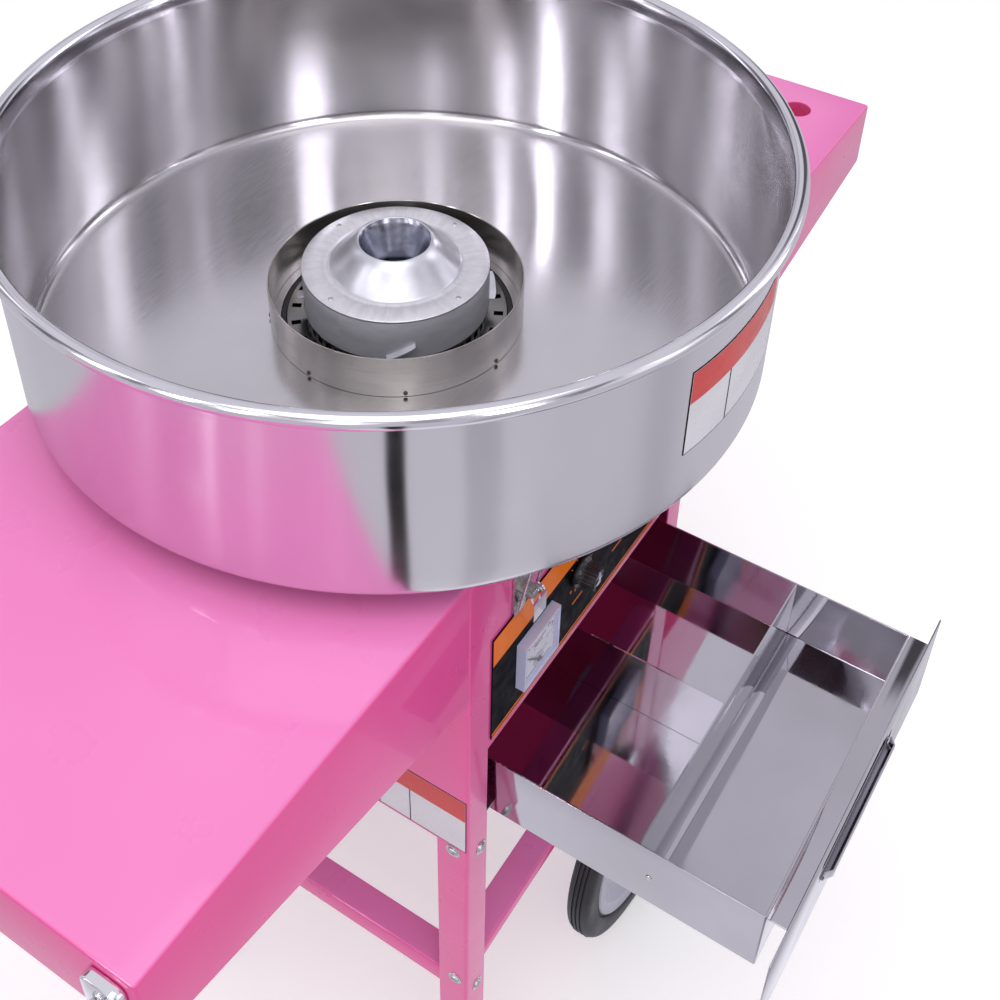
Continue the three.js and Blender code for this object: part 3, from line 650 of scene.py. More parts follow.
# ---- small hardware ----
def dome_head(name, point, direction, body, radius=4.2 * MM, height=2.2 * MM,
              material=None, recess="cross", washer=True):
    """A pan-head screw or bolt seen from outside: domed head, driver recess and a washer under it."""
    r, h = radius, height
    profile = [(0, 0.1 * MM), (r, 0.1 * MM), (r, h * 0.45), (r * 0.86, h * 0.8), (r * 0.55, h * 0.97), (0, h)]
    head = lathe(name, profile, segments=32, centre=Vector())
    arms = []
    if recess in ("cross", "slot"):
        arms.append(block("arm", (-r * 0.62, -r * 0.1, h * 0.6), (r * 0.62, r * 0.1, h * 1.4)))
    if recess == "cross":
        arms.append(block("arm", (-r * 0.1, -r * 0.62, h * 0.6), (r * 0.1, r * 0.62, h * 1.4)))
    if arms:
        cut_out(head, arms)
    pieces = [head]
    if washer:
        t = 0.5 * MM
        rim = [(r * 0.5, 0), (r * 1.42, 0), (r * 1.45, t * 0.4), (r * 1.4, t), (r * 0.5, t)]
        pieces.append(lathe("washer", rim, segments=32, centre=Vector()))
    screw = joined(name, pieces)
    up = (0, 0, 1) if abs(Vector(direction).z) < 0.9 else (0, 1, 0)
    screw.data.transform(facing(direction, point, up))
    return dress(screw, body, material or ZINC)


# ---- the pan ----
FILLET = 9 * MM
STEEL = 1.2 * MM
BEAD_R = 5 * MM
SEAM_AZIMUTH, LAP_AZIMUTH = 60, 150  # degrees, where the pan's wall and the shield are joined


def bowl_shape():
    wall = BOWL_R - BEAD_R - 4.5 * MM
    rim = BOWL_HIGH.z - BOWL_BASE - BEAD_R
    centre = BOWL_R - BEAD_R
    corner = wall - FILLET
    meets = 180 + math.degrees(math.acos((centre - wall) / BEAD_R))
    hole = 80 * MM
    outside = [(hole, 0)] + arc(corner, FILLET, FILLET, -90, 0, 8)
    outside += [(wall, FILLET + (rim - FILLET) * i / 12) for i in range(1, 12)]
    rolled_past = 512
    bead = arc(centre, rim, BEAD_R, meets, rolled_past, 28)
    inside = [(wall - STEEL, rim - (rim - FILLET) * i / 12) for i in range(1, 12)]
    inside += arc(corner, FILLET, FILLET - STEEL, 0, -90, 8) + [(hole, STEEL)]
    return outside + bead + inside


def wall_waves(radius, height, angle):
    """Slow hand-polished waves of the wall, none at the bead or the floor."""
    low = FILLET * 1.5
    high = BOWL_HIGH.z - BOWL_BASE - 4 * BEAD_R
    if radius < BOWL_R * 0.9 or not low < height < high:
        return 0
    fade = math.sin(math.pi * (height - low) / (high - low))
    where = Vector((math.cos(angle) * 3.2, math.sin(angle) * 3.2, height * 6))
    return 0.45 * MM * fade * noise.noise(where)


def make_bowl():
    bowl = lathe("bowl_pan", bowl_shape(), segments=256, centre=AXIS + Vector((0, 0, BOWL_BASE)), warp=wall_waves)
    dress(bowl, "bowl", WALL, ["bowl"])
    for material in (FLOOR_STEEL, BEAD, OUTER):
        bowl.data.materials.append(material)
    floor_top = BOWL_BASE + 2.5 * MM
    bead_low = BOWL_HIGH.z - 2 * BEAD_R - 0.5 * MM
    for face in bowl.data.polygons:
        if face.center.z < floor_top and abs(face.normal.z) > 0.9:
            face.material_index = 1
        elif face.center.z > bead_low:
            face.material_index = 2
        elif face.normal.xy.dot((face.center - AXIS).xy) > 0:
            face.material_index = 3
    low, high = BOWL_BASE + 12 * MM, BOWL_HIGH.z - 11 * MM
    outer = BOWL_R - BEAD_R - 4.6 * MM
    seam = slab("wall_seam", section(-0.5 * MM, 0.5 * MM, low, high),
                0.3 * MM, on_wall(outer, SEAM_AZIMUTH, 0), bevel=0.12 * MM)
    dress(seam, "bowl", BEAD)


def make_shield():
    height = SHIELD_HIGH.z - SHIELD_LOW.z
    inner = SHIELD_R - STEEL
    profile = [(inner, 0), (SHIELD_R, 0), (SHIELD_R, height - 0.5 * MM), (SHIELD_R - 0.35 * MM, height),
               (inner + 0.35 * MM, height), (inner, height - 0.5 * MM)]
    ring = lathe("shield", profile, segments=192, centre=AXIS + Vector((0, 0, SHIELD_LOW.z)), smooth_angle=25)
    dress(ring, "bowl", RING, ["shield_ring"])
    overlap = slab("shield_lap", section(-0.4 * MM, 0.4 * MM, 0.5 * MM, height), 0.3 * MM,
                   on_wall(SHIELD_R - 0.15 * MM, LAP_AZIMUTH, SHIELD_LOW.z))
    dress(overlap, "bowl", RING)
    for i in range(8):
        angle = -141 + 45 * i
        dome_head(f"shield_rivet_{i}", polar(SHIELD_R - 0.2 * MM, angle, SHIELD_LOW.z + 2.6 * MM),
                  outward_from_axis(angle), "bowl", radius=1.5 * MM, height=1.1 * MM,
                  material=SOOT, recess=None, washer=False)


# ---- the spinning head ----
BLADE_START = 38  # degrees, the first blade's azimuth


def make_cap():
    base = AXIS + Vector((0, 0, HEAD_BASE))
    r = HEAD_R / MM
    profile = [(r, 31.3), (r, 32.6), (r - 0.5, 33), (49.5, 33)]
    profile += [(48.4, 32.4), (46.6, 32.4), (45.5, 33)]
    profile += arc(45.5, 36, 3, -90, -137, 5)[1:]
    profile += [(37.2, 40.2), (33.4, 44.2), (31.2, 46.7), (29.2, 48.8), (27.3, 50.4), (25.8, 51.4), (25, 51.9)]
    profile += [(24.5, 52), (24.1, 51.7), (22.4, 48.2), (19, 41), (14.5, 31.5), (12.4, 28.5), (12, 24)]
    profile += [(13.4, 24), (14.2, 28)]
    profile += [(20.6, 40), (23.6, 46.6), (25.4, 49.2), (28.2, 46.6), (36.2, 38.6), (43.4, 33), (45.2, 31.3)]
    cap = lathe("head_cap_turned", mm(profile), segments=160, centre=base, smooth_angle=50)
    dress(cap, "spinner", SPUN, ["head_cap"])
    cap.data.materials.append(FACED)
    cap.data.materials.append(FUNNEL)
    for face in cap.data.polygons:
        out = (face.center - AXIS).xy
        if out.length > 46 * MM:
            face.material_index = 1
        elif out.length < 24.2 * MM and face.normal.xy.dot(out) < 0:
            face.material_index = 2
    for angle in (79, -10, -99, 168):
        dome_head(f"cap_screw_{angle % 360}", polar(57.2 * MM, angle, HEAD_BASE + 32.7 * MM), (0, 0, 1), "spinner",
                  radius=1.9 * MM, height=0.9 * MM, material=ZINC, washer=False)


def blade(index):
    """A tab pushed out of the cup's side, leaning like a fan blade."""
    half = 9.5 * MM
    angle = math.radians(BLADE_START + 90 * index)
    bm = bmesh.new()
    rows = []
    for i in range(9):
        t = i / 8
        along = half * (2 * t - 1)
        lift = (4 + 9.5 * t) * MM
        reach = (5.0 - 1.4 * abs(2 * t - 1) ** 3) * MM
        inner = math.sqrt(max((HEAD_R - 0.4 * MM) ** 2 - along ** 2, 0))
        tip = HEAD_R + reach - 0.5 * MM
        rows.append([bm.verts.new((inner, along, lift)), bm.verts.new((tip, along, lift - 0.6 * MM))])
    skin(bm, rows)
    turn = Matrix.Translation(AXIS + Vector((0, 0, HEAD_BASE))) @ Matrix.Rotation(angle, 4, "Z")
    bmesh.ops.transform(bm, matrix=turn, verts=bm.verts)
    tab = thicken(from_bmesh(f"head_blade_{index}", bm), 1.1 * MM)
    dress(soften(tab, 0.25 * MM), "spinner", BAND)


def make_cup():
    r = HEAD_R / MM
    profile = [(6.4, -6), (12, -6), (12, 0), (r - 1, 0), (r, 0.8), (r, 30.4), (r - 0.4, 31), (r - 1.5, 31),
               (r - 1.5, 2), (12, 2), (12, 14), (6.4, 14)]
    cup = lathe("head_cup_turned", mm(profile), segments=160, centre=AXIS + Vector((0, 0, HEAD_BASE)))
    dress(cup, "spinner", BAND, ["head_cup"])
    for index in range(4):
        blade(index)


def make_heater():
    ribbon = []
    for turn in range(6):
        low = HEAD_BASE + (4.5 + turn * 3.2) * MM
        ribbon.append(lathe("turn", section(57.1 * MM, 57.8 * MM, low, low + 1.6 * MM), segments=96, centre=AXIS))
    dress(joined("heater_ribbon", ribbon), "spinner", ZINC)


def make_vents():
    """The plate under the head, with its ring of slots and the slotted collar that stands on it."""
    low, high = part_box("vent_plate")
    outer, top, hub = (high.x - low.x) / 2, high.z, 19 * MM
    profile = [(hub, top - STEEL), (outer - STEEL, top - STEEL), (outer - STEEL, low.z), (outer, low.z),
               (outer, top - 1 * MM), (outer - 0.5 * MM, top), (hub, top)]
    disc = lathe("vent_disc", profile, segments=144, centre=AXIS)
    slots = [turned_block((66.5 * MM, -2.2 * MM, top - 3 * MM), (73 * MM, 2.2 * MM, top + 3 * MM),
                          AXIS, TAU * i / 24, "Z") for i in range(24)]
    cut_out(disc, [joined("slots", slots)])
    dress(disc, "cart", VENT, ["vent_plate"])

    # painted shade: dark rubber rings on the cabinet top under the slots and round the plate, with a lip up to the
    # pan, darken the gap and the slots where they lie in shade
    floor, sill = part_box("cabinet_top")[1].z, BOWL_BASE + 0.9 * MM
    shade_seals = [lathe("seal", section(inner, rim, floor + 0.1 * MM, floor + 1.2 * MM), segments=96, centre=AXIS)
             for inner, rim in ((47 * MM, outer - STEEL - 0.3 * MM), (outer + 0.3 * MM, 79.6 * MM))]
    lip = section(outer + 0.3 * MM, 79.5 * MM, sill - 3 * MM, sill)
    shade_seals.append(lathe("seal", lip, segments=144, centre=AXIS))
    dress(joined("vent_shade_seal", shade_seals), "cart", RUBBER)

    bars = [turned_block((60.4 * MM, -1.5 * MM, top + 0.2 * MM), (62 * MM, 1.5 * MM, top + 7.4 * MM),
                         AXIS, TAU * i / 44, "Z", 0.2 * MM) for i in range(44)]
    bars += [lathe("hoop", section(60.2 * MM, 62.2 * MM, base, base + 1.2 * MM), segments=96, centre=AXIS)
             for base in (top + 0.1 * MM, top + 6.6 * MM)]
    dress(joined("vent_collar", bars), "cart", VENT)


# ---- sheet metal ----
SHEET = 1.5 * MM
FOLD = 2.6 * MM
TRAY_END_DEPTH = 57 * MM
CONE_HOLE_R, CONE_HOLE_INSET, CONE_HOLE_PITCH = 12 * MM, 42 * MM, 114 * MM
LEGS = {"leg_front_left": (-1, -1), "leg_front_right": (1, -1), "leg_back_left": (-1, 1), "leg_back_right": (1, 1)}


def quad(*corners):
    return [Vector(c) for c in corners]


def sheet_part(name, faces, suffix="_sheet", fold=FOLD, metal=SHEET, soft=0.35 * MM, inside=None, cutters=()):
    """A folded and painted part in place of the CAD node of that name."""
    inside = middle(name) if inside is None else inside
    piece = folded(name + suffix, [outward(corners, inside) for corners in faces], metal, fold)
    if cutters:
        cut_out(piece, cutters)
    dress(soften(piece, soft, 2, 60), "cart", PINK, [name])


def make_tray(name, side, holes=0):
    low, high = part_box(name)
    root, end = (high.x, low.x) if side < 0 else (low.x, high.x)
    top, bottom, tip = high.z, low.z, high.z - TRAY_END_DEPTH
    front, back = low.y, high.y
    deck = quad((root, front, top), (end, front, top), (end, back, top), (root, back, top))
    aprons = [quad((root, y, top), (root, y, bottom), (end, y, tip), (end, y, top)) for y in (front, back)]
    face = quad((end, front, top), (end, front, tip), (end, back, tip), (end, back, top))
    cutters = []
    for i in range(holes):
        y = AXIS.y + (i - (holes - 1) / 2) * CONE_HOLE_PITCH
        place = Vector((end - CONE_HOLE_INSET, y, top - 10 * MM))
        cutters.append(lathe("cutter", section(0, CONE_HOLE_R, 0, 20 * MM), 48, place))
    sheet_part(name, [deck, *aprons, face], cutters=cutters)


def outward(corners, inside):
    """The same corners, ordered so that the face looks away from a point inside."""
    normal = (corners[1] - corners[0]).cross(corners[2] - corners[0])
    return corners if normal.dot(corners[0] - inside) > 0 else corners[::-1]


def make_side(name, side):
    low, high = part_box(name)
    x = low.x if side < 0 else high.x
    lip = high.x if side < 0 else low.x
    foot, top = low.z, high.z
    mid = foot + 22 * MM
    front, back = low.y, high.y
    step, chamfer = 26 * MM, 9 * MM
    sheet = [(x, front, foot), (x, front, top), (x, back, top), (x, back, foot), (x, back - step + chamfer, foot),
             (x, back - step, foot + chamfer), (x, back - step, mid), (x, front + step, mid),
             (x, front + step, foot + chamfer), (x, front + step - chamfer, foot)]
    faces = [quad(*sheet)]
    for y in (front, back):
        inner = lip - math.copysign(chamfer, lip - x)
        faces.append(quad((x, y, foot), (inner, y, foot), (lip, y, foot + chamfer), (lip, y, top), (x, y, top)))
    sheet_part(name, faces, inside=middle(name) - Vector((side * 50 * MM, 0, 0)))


def make_leg(name, side_x, side_y):
    low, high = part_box(name)
    x, inner_x = (low.x, high.x) if side_x < 0 else (high.x, low.x)
    y, inner_y = (low.y, high.y) if side_y < 0 else (high.y, low.y)
    along_y = quad((x, y, low.z), (x, inner_y, low.z), (x, inner_y, high.z), (x, y, high.z))
    along_x = quad((x, y, low.z), (inner_x, y, low.z), (inner_x, y, high.z), (x, y, high.z))
    cutters = []
    if side_x > 0:
        hub = middle("axle")
        bore = section(0, 7 * MM, -20 * MM, 20 * MM)
        cutters = [lathe("cutter", bore, 32, Vector((hub.x, y, hub.z)), axis="Y")]
    sheet_part(name, [along_y, along_x], "_angle", 3.2 * MM, 2.5 * MM, 0.5 * MM, cutters=cutters)


def make_rail(name, along, side):
    """An angle rail with end tabs: its top flange looks up and its web looks out of the cart."""
    low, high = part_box(name)
    run, across = (1, 0) if along == "Y" else (0, 1)
    a, b = low[run], high[run]
    outer, inner = (low[across], high[across]) if side < 0 else (high[across], low[across])

    def at(distance, offset, z):
        return (offset, distance, z) if along == "Y" else (distance, offset, z)

    top = quad(at(a, outer, high.z), at(b, outer, high.z), at(b, inner, high.z), at(a, inner, high.z))
    web = quad(at(a, outer, low.z), at(b, outer, low.z), at(b, outer, high.z), at(a, outer, high.z))
    tabs = [quad(at(e, outer, low.z), at(e, inner, low.z), at(e, inner, high.z), at(e, outer, high.z))
            for e in (a, b)]
    sheet_part(name, [top, web, *tabs], "_angle", 2.2 * MM)


def make_sheet_metal():
    make_tray("tray_left", -1)
    make_tray("tray_right", 1, holes=3)
    make_side("cabinet_side_left", -1)
    make_side("cabinet_side_right", 1)
    for name, sides in LEGS.items():
        make_leg(name, *sides)
    for name, along, side in (("left", "Y", -1), ("right", "Y", 1), ("front", "X", -1), ("back", "X", 1)):
        make_rail("rail_" + name, along, side)


# heights (m) of a leg's bolts on its side and on its face, and how far out the skin lifts them
BOLT_ROWS = ((0.447, 0.440, 1.8 * MM), (0.257, 0.235, 0))
AXLE_CLEARANCE = 24 * MM  # the lower face bolts of the wheel legs sit this much higher


def make_bolts():
    """Leg bolts with their washers."""
    for leg, (side_x, side_y) in LEGS.items():
        low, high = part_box(leg)
        x = low.x if side_x < 0 else high.x
        y = low.y if side_y < 0 else high.y
        for side_z, face_z, out in BOLT_ROWS:
            row = int(side_z * 1000)
            lift = AXLE_CLEARANCE if side_x > 0 and not out else 0
            dome_head(f"{leg}_bolt_x_{row}", (x + side_x * out, y - side_y * 11 * MM, side_z),
                      (side_x, 0, 0), "cart", recess="slot")
            dome_head(f"{leg}_bolt_y_{row}", (x - side_x * 15 * MM, y + side_y * out, face_z + lift),
                      (0, side_y, 0), "cart", recess="slot")


# ---- drawer ----
def make_drawer():
    low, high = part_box("drawer_box")
    x0, x1, y0, y1, z0, z1 = low.x, high.x, low.y, high.y, low.z, high.z
    faces = [quad((x0, y0, z0), (x1, y0, z0), (x1, y1, z0), (x0, y1, z0))]
    faces += [quad((x0, y, z0), (x1, y, z0), (x1, y, z1), (x0, y, z1)) for y in (y0, y1)]
    faces += [quad((x, y0, z0), (x, y1, z0), (x, y1, z1), (x, y0, z1)) for x in (x0, x1)]
    shell = folded("drawer_tub", [outward(c, middle("drawer_box")) for c in faces], STEEL, 1.7 * MM)
    dress(soften(shell, 0.2 * MM, 2, 60), "drawer", MIRROR, ["drawer_box"])

    front_low, front_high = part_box("drawer_front")
    plate_y = front_low.y + 6.5 * MM
    bottom, top = front_low.z, front_high.z
    slot_low, slot_high = z0 + 21 * MM, z0 + 35 * MM
    upright = Matrix.Translation((0, plate_y + STEEL, 0)) @ Matrix.Rotation(math.pi / 2, 4, "X")
    plate = slab("drawer_face", section(front_low.x, front_high.x, bottom, top), STEEL, upright, bevel=0.3 * MM)
    mid = middle("drawer_front").x
    half = 66 * MM
    cut_out(plate, [block("slot", (mid - half, plate_y - 5 * MM, slot_low), (mid + half, plate_y + 5 * MM, slot_high),
                          1.5 * MM, 3)])
    hem = block("drawer_hem", (x0, plate_y + STEEL, top - STEEL), (x1, y0 - 0.3 * MM, top), 0.35 * MM)
    lip = finger_lip(mid, half, plate_y, slot_low, z0)
    face = joined("drawer_face_plate", [plate, hem, lip])
    dress(face, "drawer", MIRROR, ["drawer_front"])
    cross = middle("divider_cross")
    foot = block("divider_foot", (x0 + 2 * MM, cross.y - 10 * MM, z0 + STEEL + 0.1 * MM),
                 (x1 - 2 * MM, cross.y - 0.5 * MM, z0 + STEEL + 1.1 * MM), 0.3 * MM)
    dress(foot, "drawer", MIRROR)
    for side, x in ((-1, x0), (1, x1)):
        dome_head(f"drawer_stop_{'left' if side < 0 else 'right'}", (x, y0 + 80 * MM, z0 + 30 * MM), (side, 0, 0),
                  "drawer", radius=2.1 * MM, height=1.0 * MM, recess=None, washer=False)


def finger_lip(mid, half, plate_y, slot_low, base):
    """The scoop under the pull slot: a strip rolled out of the face and turned up."""
    reach, tip, ends = 6.5 * MM, base + 30 * MM, 4 * MM
    roll = 3.4 * MM
    path = [(STEEL * 0.3, slot_low - STEEL / 2)]
    path += arc(4 * MM - reach, slot_low + roll - STEEL / 2, roll, -90, -180, 6)
    path += [(-reach + STEEL / 2, tip)]
    bm = bmesh.new()
    columns = 24
    rows = []
    for i in range(columns + 1):
        t = 2 * i / columns - 1
        x = mid + (half - ends) * t
        shrink = 1 - 0.75 * max(0, (abs(t) - 0.93) / 0.07) ** 2
        rows.append([bm.verts.new((x, plate_y + a * (shrink if a < 0 else 1), b)) for a, b in path])
    skin(bm, rows)
    return thicken(from_bmesh("finger_lip", bm), STEEL * 0.9)


# ---- control panel ----
def strip(name, x0, x1, z0, z1):
    """An orange band printed on the fascia."""
    piece = block(name, (x0, PANEL_Y - 0.12 * MM, z0), (x1, PANEL_Y + 0.02 * MM, z1))
    dress(piece, "cart", FILM_ORANGE)


def make_fascia():
    x0, x1, z0, z1 = FASCIA_LOW.x, FASCIA_HIGH.x, FASCIA_LOW.z, FASCIA_HIGH.z
    edge, band = 0.4 * MM, 26.5 * MM
    strip("fascia_band", x0 + edge, x1 - edge, z1 - band, z1 - edge)
    strip("fascia_line_low", x0 + edge, x1 - edge, z0 + edge, z0 + 2.3 * MM)
    strip("fascia_line_high", x0 + edge, x1 - edge, z0 + 3.9 * MM, z0 + 5.6 * MM)
    knob = middle("heat_knob")
    dial = Vector((knob.x, PANEL_Y, knob.z))
    marks = []
    for i in range(11):
        size = (0.35 + 0.05 * i) * MM
        marks.append(turned_block((-size, -0.1 * MM, 15.2 * MM), (size, 0.02 * MM, 17.6 * MM),
                                  dial, math.radians(-45 + 27 * i), "Y"))
    dress(joined("heat_marks", marks), "cart", FILM_ORANGE)
    for name, x in (("heat_bar", knob.x - 1 * MM), ("switch_bar", middle("rocker").x - 21 * MM)):
        strip(name, x - 7 * MM, x + 7 * MM, z0 + 32 * MM, z0 + 33.6 * MM)


def make_meter():
    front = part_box("meter_dial")[0].y
    pivot = Vector((middle("meter_dial").x, front, middle("meter_dial").z - 12 * MM))
    ticks = []
    for i in range(31):
        half, length = (0.3 * MM, 4 * MM) if i % 5 == 0 else (0.12 * MM, 2.2 * MM)
        ticks.append(turned_block((-half, -0.1 * MM, 27.5 * MM - length), (half, 0.02 * MM, 27.5 * MM),
                                  pivot, math.radians(-45 + 3 * i), "Y"))
    for x0, x1, z0, z1 in ((-9, 9, 7.4, 8.2), (-5, 5, 4, 5.4), (-17, 17, -19, -18.3)):
        ticks.append(block("bar", pivot + Vector((x0, -0.1, 12 + z0)) * MM, pivot + Vector((x1, 0.02, 12 + z1)) * MM))
    dress(joined("meter_scale", ticks), "cart", FILM_BLACK)
    cover = lathe("meter_pivot_cover", mm([(0, 0.2), (6.5, 0.2), (6.5, 0.55), (5.6, 0.8), (0, 0.8)]), 40,
                  Vector((pivot.x, front + 0.15 * MM, pivot.z)), axis="Y")
    dress(cover, "cart", GREY)
    case, face = middle("meter_case"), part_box("meter_case")[0].y
    for i, (sx, sz) in enumerate(((-1, -1), (1, -1), (1, 1), (-1, 1))):
        point = (case.x + sx * 21.3 * MM, face + 0.15 * MM, case.z + sz * 21.3 * MM)
        dome_head(f"meter_stud_{i}", point, (0, -1, 0), "cart", radius=0.8 * MM, height=0.3 * MM,
                  material=GREY, recess=None, washer=False)


def make_knob():
    low, centre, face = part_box("heat_knob")[0], middle("heat_knob"), PANEL_Y

    def notch(radius, height, angle):
        grip = 5 * MM < height < 14 * MM and radius > 6 * MM
        return -0.45 * MM * (0.5 + 0.5 * math.cos(24 * angle)) if grip else 0

    profile = [(0, -6), (3, -6), (3, 0.7), (12.4, 0.7), (12.5, 1.2), (12.2, 2.6), (10.4, 4.2), (9.9, 5.4), (9.7, 8),
               (9.4, 11), (9.1, 13.6), (8.5, 15), (7.6, 15.4), (6.8, 15.1), (0, 15.1)]
    knob = lathe("heat_knob_moulded", mm(profile), segments=192, centre=Vector((centre.x, face, centre.z)),
                 axis="Y", warp=notch)
    dress(knob, "knob", BLACK, ["heat_knob"])
    line = block("knob_line", (centre.x - 0.6 * MM, low.y, centre.z + 1 * MM),
                 (centre.x + 0.6 * MM, face - 15 * MM, centre.z + 8 * MM), 0.15 * MM)
    dress(line, "knob", WHITE)
    cap = lathe("knob_cap", mm([(0, 0), (4.6, 0), (4.6, 0.3), (4, 0.6), (0, 0.7)]), 40,
                Vector((centre.x, face - 15 * MM, centre.z)), axis="Y")
    dress(cap, "knob", CHROME)


def make_controls():
    make_fascia()
    make_meter()
    make_knob()
    inlet = middle("power_inlet")
    for i, (dx, dz) in enumerate(((0, 2.5), (-5, -2), (5, -2))):
        pin = block(f"inlet_pin_{i}", (inlet.x + (dx - 1) * MM, inlet.y - 3 * MM, inlet.z + (dz - 2) * MM),
                    (inlet.x + (dx + 1) * MM, inlet.y + 9 * MM, inlet.z + (dz + 2) * MM), 0.3 * MM)
        dress(pin, "cart", ZINC)
    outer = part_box("power_inlet")[1].y
    for side in (-1, 1):
        point = (inlet.x + side * 19 * MM, outer - 0.1 * MM, inlet.z)
        dome_head(f"inlet_screw_{'left' if side < 0 else 'right'}", point, (0, 1, 0), "cart",
                  radius=2.4 * MM, height=1.3 * MM, washer=False)


# ---- placards ----
def placard(name, place, width, height, body, bend=0.0):
    """A blank plate: dark edge, white field, red head and a thin dark rule, laid flat or bent round the pan."""
    for part, x0, x1, y0, y1, z0, z1, material in (
            ("edge", 0, width, 0, height, 0, 0.16 * MM, FILM_BLACK),
            ("field", 0.7 * MM, width - 0.7 * MM, 0.7 * MM, height - 0.7 * MM, 0.14 * MM, 0.22 * MM, FILM_WHITE),
            ("head", 0.9 * MM, width - 0.9 * MM, height * 0.62, height - 0.9 * MM, 0.2 * MM, 0.3 * MM, FILM_RED),
            ("rule", width * 0.36, width * 0.37, 0.9 * MM, height * 0.62, 0.2 * MM, 0.3 * MM, FILM_BLACK)):
        bm = bmesh.new()
        steps = 16
        columns = []
        for i in range(steps + 1):
            x = x0 + (x1 - x0) * i / steps - width / 2
            columns.append([bm.verts.new((x, y, z)) for y, z in section(y0, y1, z0, z1)])
        skin(bm, columns, closed=True)
        bm.faces.new(columns[0])
        bm.faces.new(columns[-1][::-1])
        if bend:
            for v in bm.verts:
                angle = v.co.x / bend
                out = bend + v.co.z
                v.co = Vector((out * math.sin(angle), v.co.y, out * math.cos(angle) - bend))
        bmesh.ops.transform(bm, matrix=place, verts=bm.verts)
        dress(from_bmesh(f"{name}_{part}", bm), body, material)


PLACARD_AZIMUTH = -90.5
PAN_PLACARD_Z, SIDE_PLACARD_Z = 0.8125, 0.4545


def make_placards():
    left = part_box("cabinet_side_left")[0]
    side_place = facing((-1, 0, 0), (left.x, left.y + 39 * MM, SIDE_PLACARD_Z))
    placard("side_placard", side_place, 75 * MM, 62 * MM, "cart")
    wall = BOWL_R - BEAD_R - 4.4 * MM
    placard("pan_placard", on_wall(wall, PLACARD_AZIMUTH, PAN_PLACARD_Z), 114 * MM, 64 * MM, "bowl", bend=wall)


# ---- wheels and handle ----
def make_wheel(side, name):
    low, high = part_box("tyre_" + name)
    centre = middle("tyre_" + name)
    radius, half = (high.z - low.z) / 2 / MM, (high.y - low.y) / 2 / MM
    rim = 120
    body = "wheel_" + name
    profile = [(rim, -10.5)] + arc(rim + 6, -half + 4.2, 4, 190, 260, 5) + [(radius - 9, -half + 0.4)]
    profile += arc(radius - 7.5, -half + 6.5, 6, -80, -10, 6)
    for y in (-4.2, 0, 4.2):
        profile += [(radius - 0.6, y - 1.1), (radius - 2, y - 0.7), (radius - 2, y + 0.7), (radius - 0.3, y + 1.1)]
    profile += arc(radius - 7.5, half - 6.5, 6, 10, 80, 6) + [(radius - 9, half - 0.4)]
    profile += arc(rim + 6, half - 4.2, 4, 100, 170, 5) + [(rim, 10.5)]
    tyre = lathe("tyre_moulded_" + name, mm(profile), 144, centre, axis="Y", smooth_angle=30)
    dress(tyre, body, RUBBER, ["tyre_" + name])
    flank = [(6.4, 13), (17, 13), (18, 12), (20, 6), (24, 4), (60, 3.2), (88, 3), (90, 1.8), (93, 1.8), (95, 3),
             (104, 6.5), (108, 9.5), (116, 10), (118.5, 11.5), (119.7, 10)]
    disc_profile = [(r, -y) for r, y in flank] + flank[::-1]
    disc = lathe("wheel_disc_moulded_" + name, mm(disc_profile), 128, centre, axis="Y", smooth_angle=30)
    ribs = []
    for i in range(10):
        for face in (-1, 1):
            inner, outer = sorted((face * 3.0 * MM, face * 7.2 * MM))
            ribs.append(turned_block((-1.6 * MM, inner, 20 * MM), (1.6 * MM, outer, 52 * MM),
                                     centre, TAU * i / 10, "Y", 0.8 * MM))
    dress(disc, body, GREY, ["wheel_disc_" + name])
    dress(joined("wheel_ribs_" + name, ribs), body, GREY)
    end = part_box("axle")[0].y if side < 0 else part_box("axle")[1].y
    hub = Vector((centre.x, end - side * 3.2 * MM, centre.z))
    nut = lathe("axle_nut_" + name, mm([(5.8, -1.6), (9, -1.6), (9.4, -1), (9.4, 1.2), (8.6, 1.9), (5.8, 1.9)]), 6,
                hub, axis="Y", smooth_angle=20)
    dress(nut, "cart", ZINC)


def make_handle():
    low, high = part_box("handle_bar")
    z = (low.z + high.z) / 2
    bar = (high.z - low.z) / 2
    x = low.x + bar
    y0, y1 = low.y + bar, high.y - bar
    corners = [(high.x, y0, z), (x, y0, z), (x, y1, z), (high.x, y1, z)]
    dress(tube("handle_bar_bent", rounded_path(corners, 18 * MM, 14), bar, 32), "cart", CHROME,
          ["handle_bar"])
    for name in ("handle_bracket_front", "handle_bracket_back"):
        low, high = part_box(name)
        centre = (low + high) / 2
        plate_x = high.x - 7 * MM
        outline = section(low.y, high.y, low.z, high.z)
        place = Matrix(((0, 0, 1, plate_x), (1, 0, 0, 0), (0, 1, 0, 0), (0, 0, 0, 1)))
        plate = slab(name + "_plate", outline, 7 * MM, place, bevel=1.2 * MM, segments=3, round_corners=5 * MM)
        collar = [(0, -14), (9.4, -14), (10.4, -13.4), (10.8, -12), (11, -6), (0, -6)]
        boss = lathe("boss", mm(collar), 48, Vector((high.x, centre.y, z)), axis="X")
        dress(joined(name + "_cast", [plate, boss]), "cart", CHROME, [name])
        for k, rise in enumerate((20 * MM, -12 * MM)):
            dome_head(f"{name}_screw_{k}", (plate_x + 0.1 * MM, centre.y, z + rise), (-1, 0, 0), "cart",
                      radius=3.2 * MM, height=1.6 * MM, washer=False)


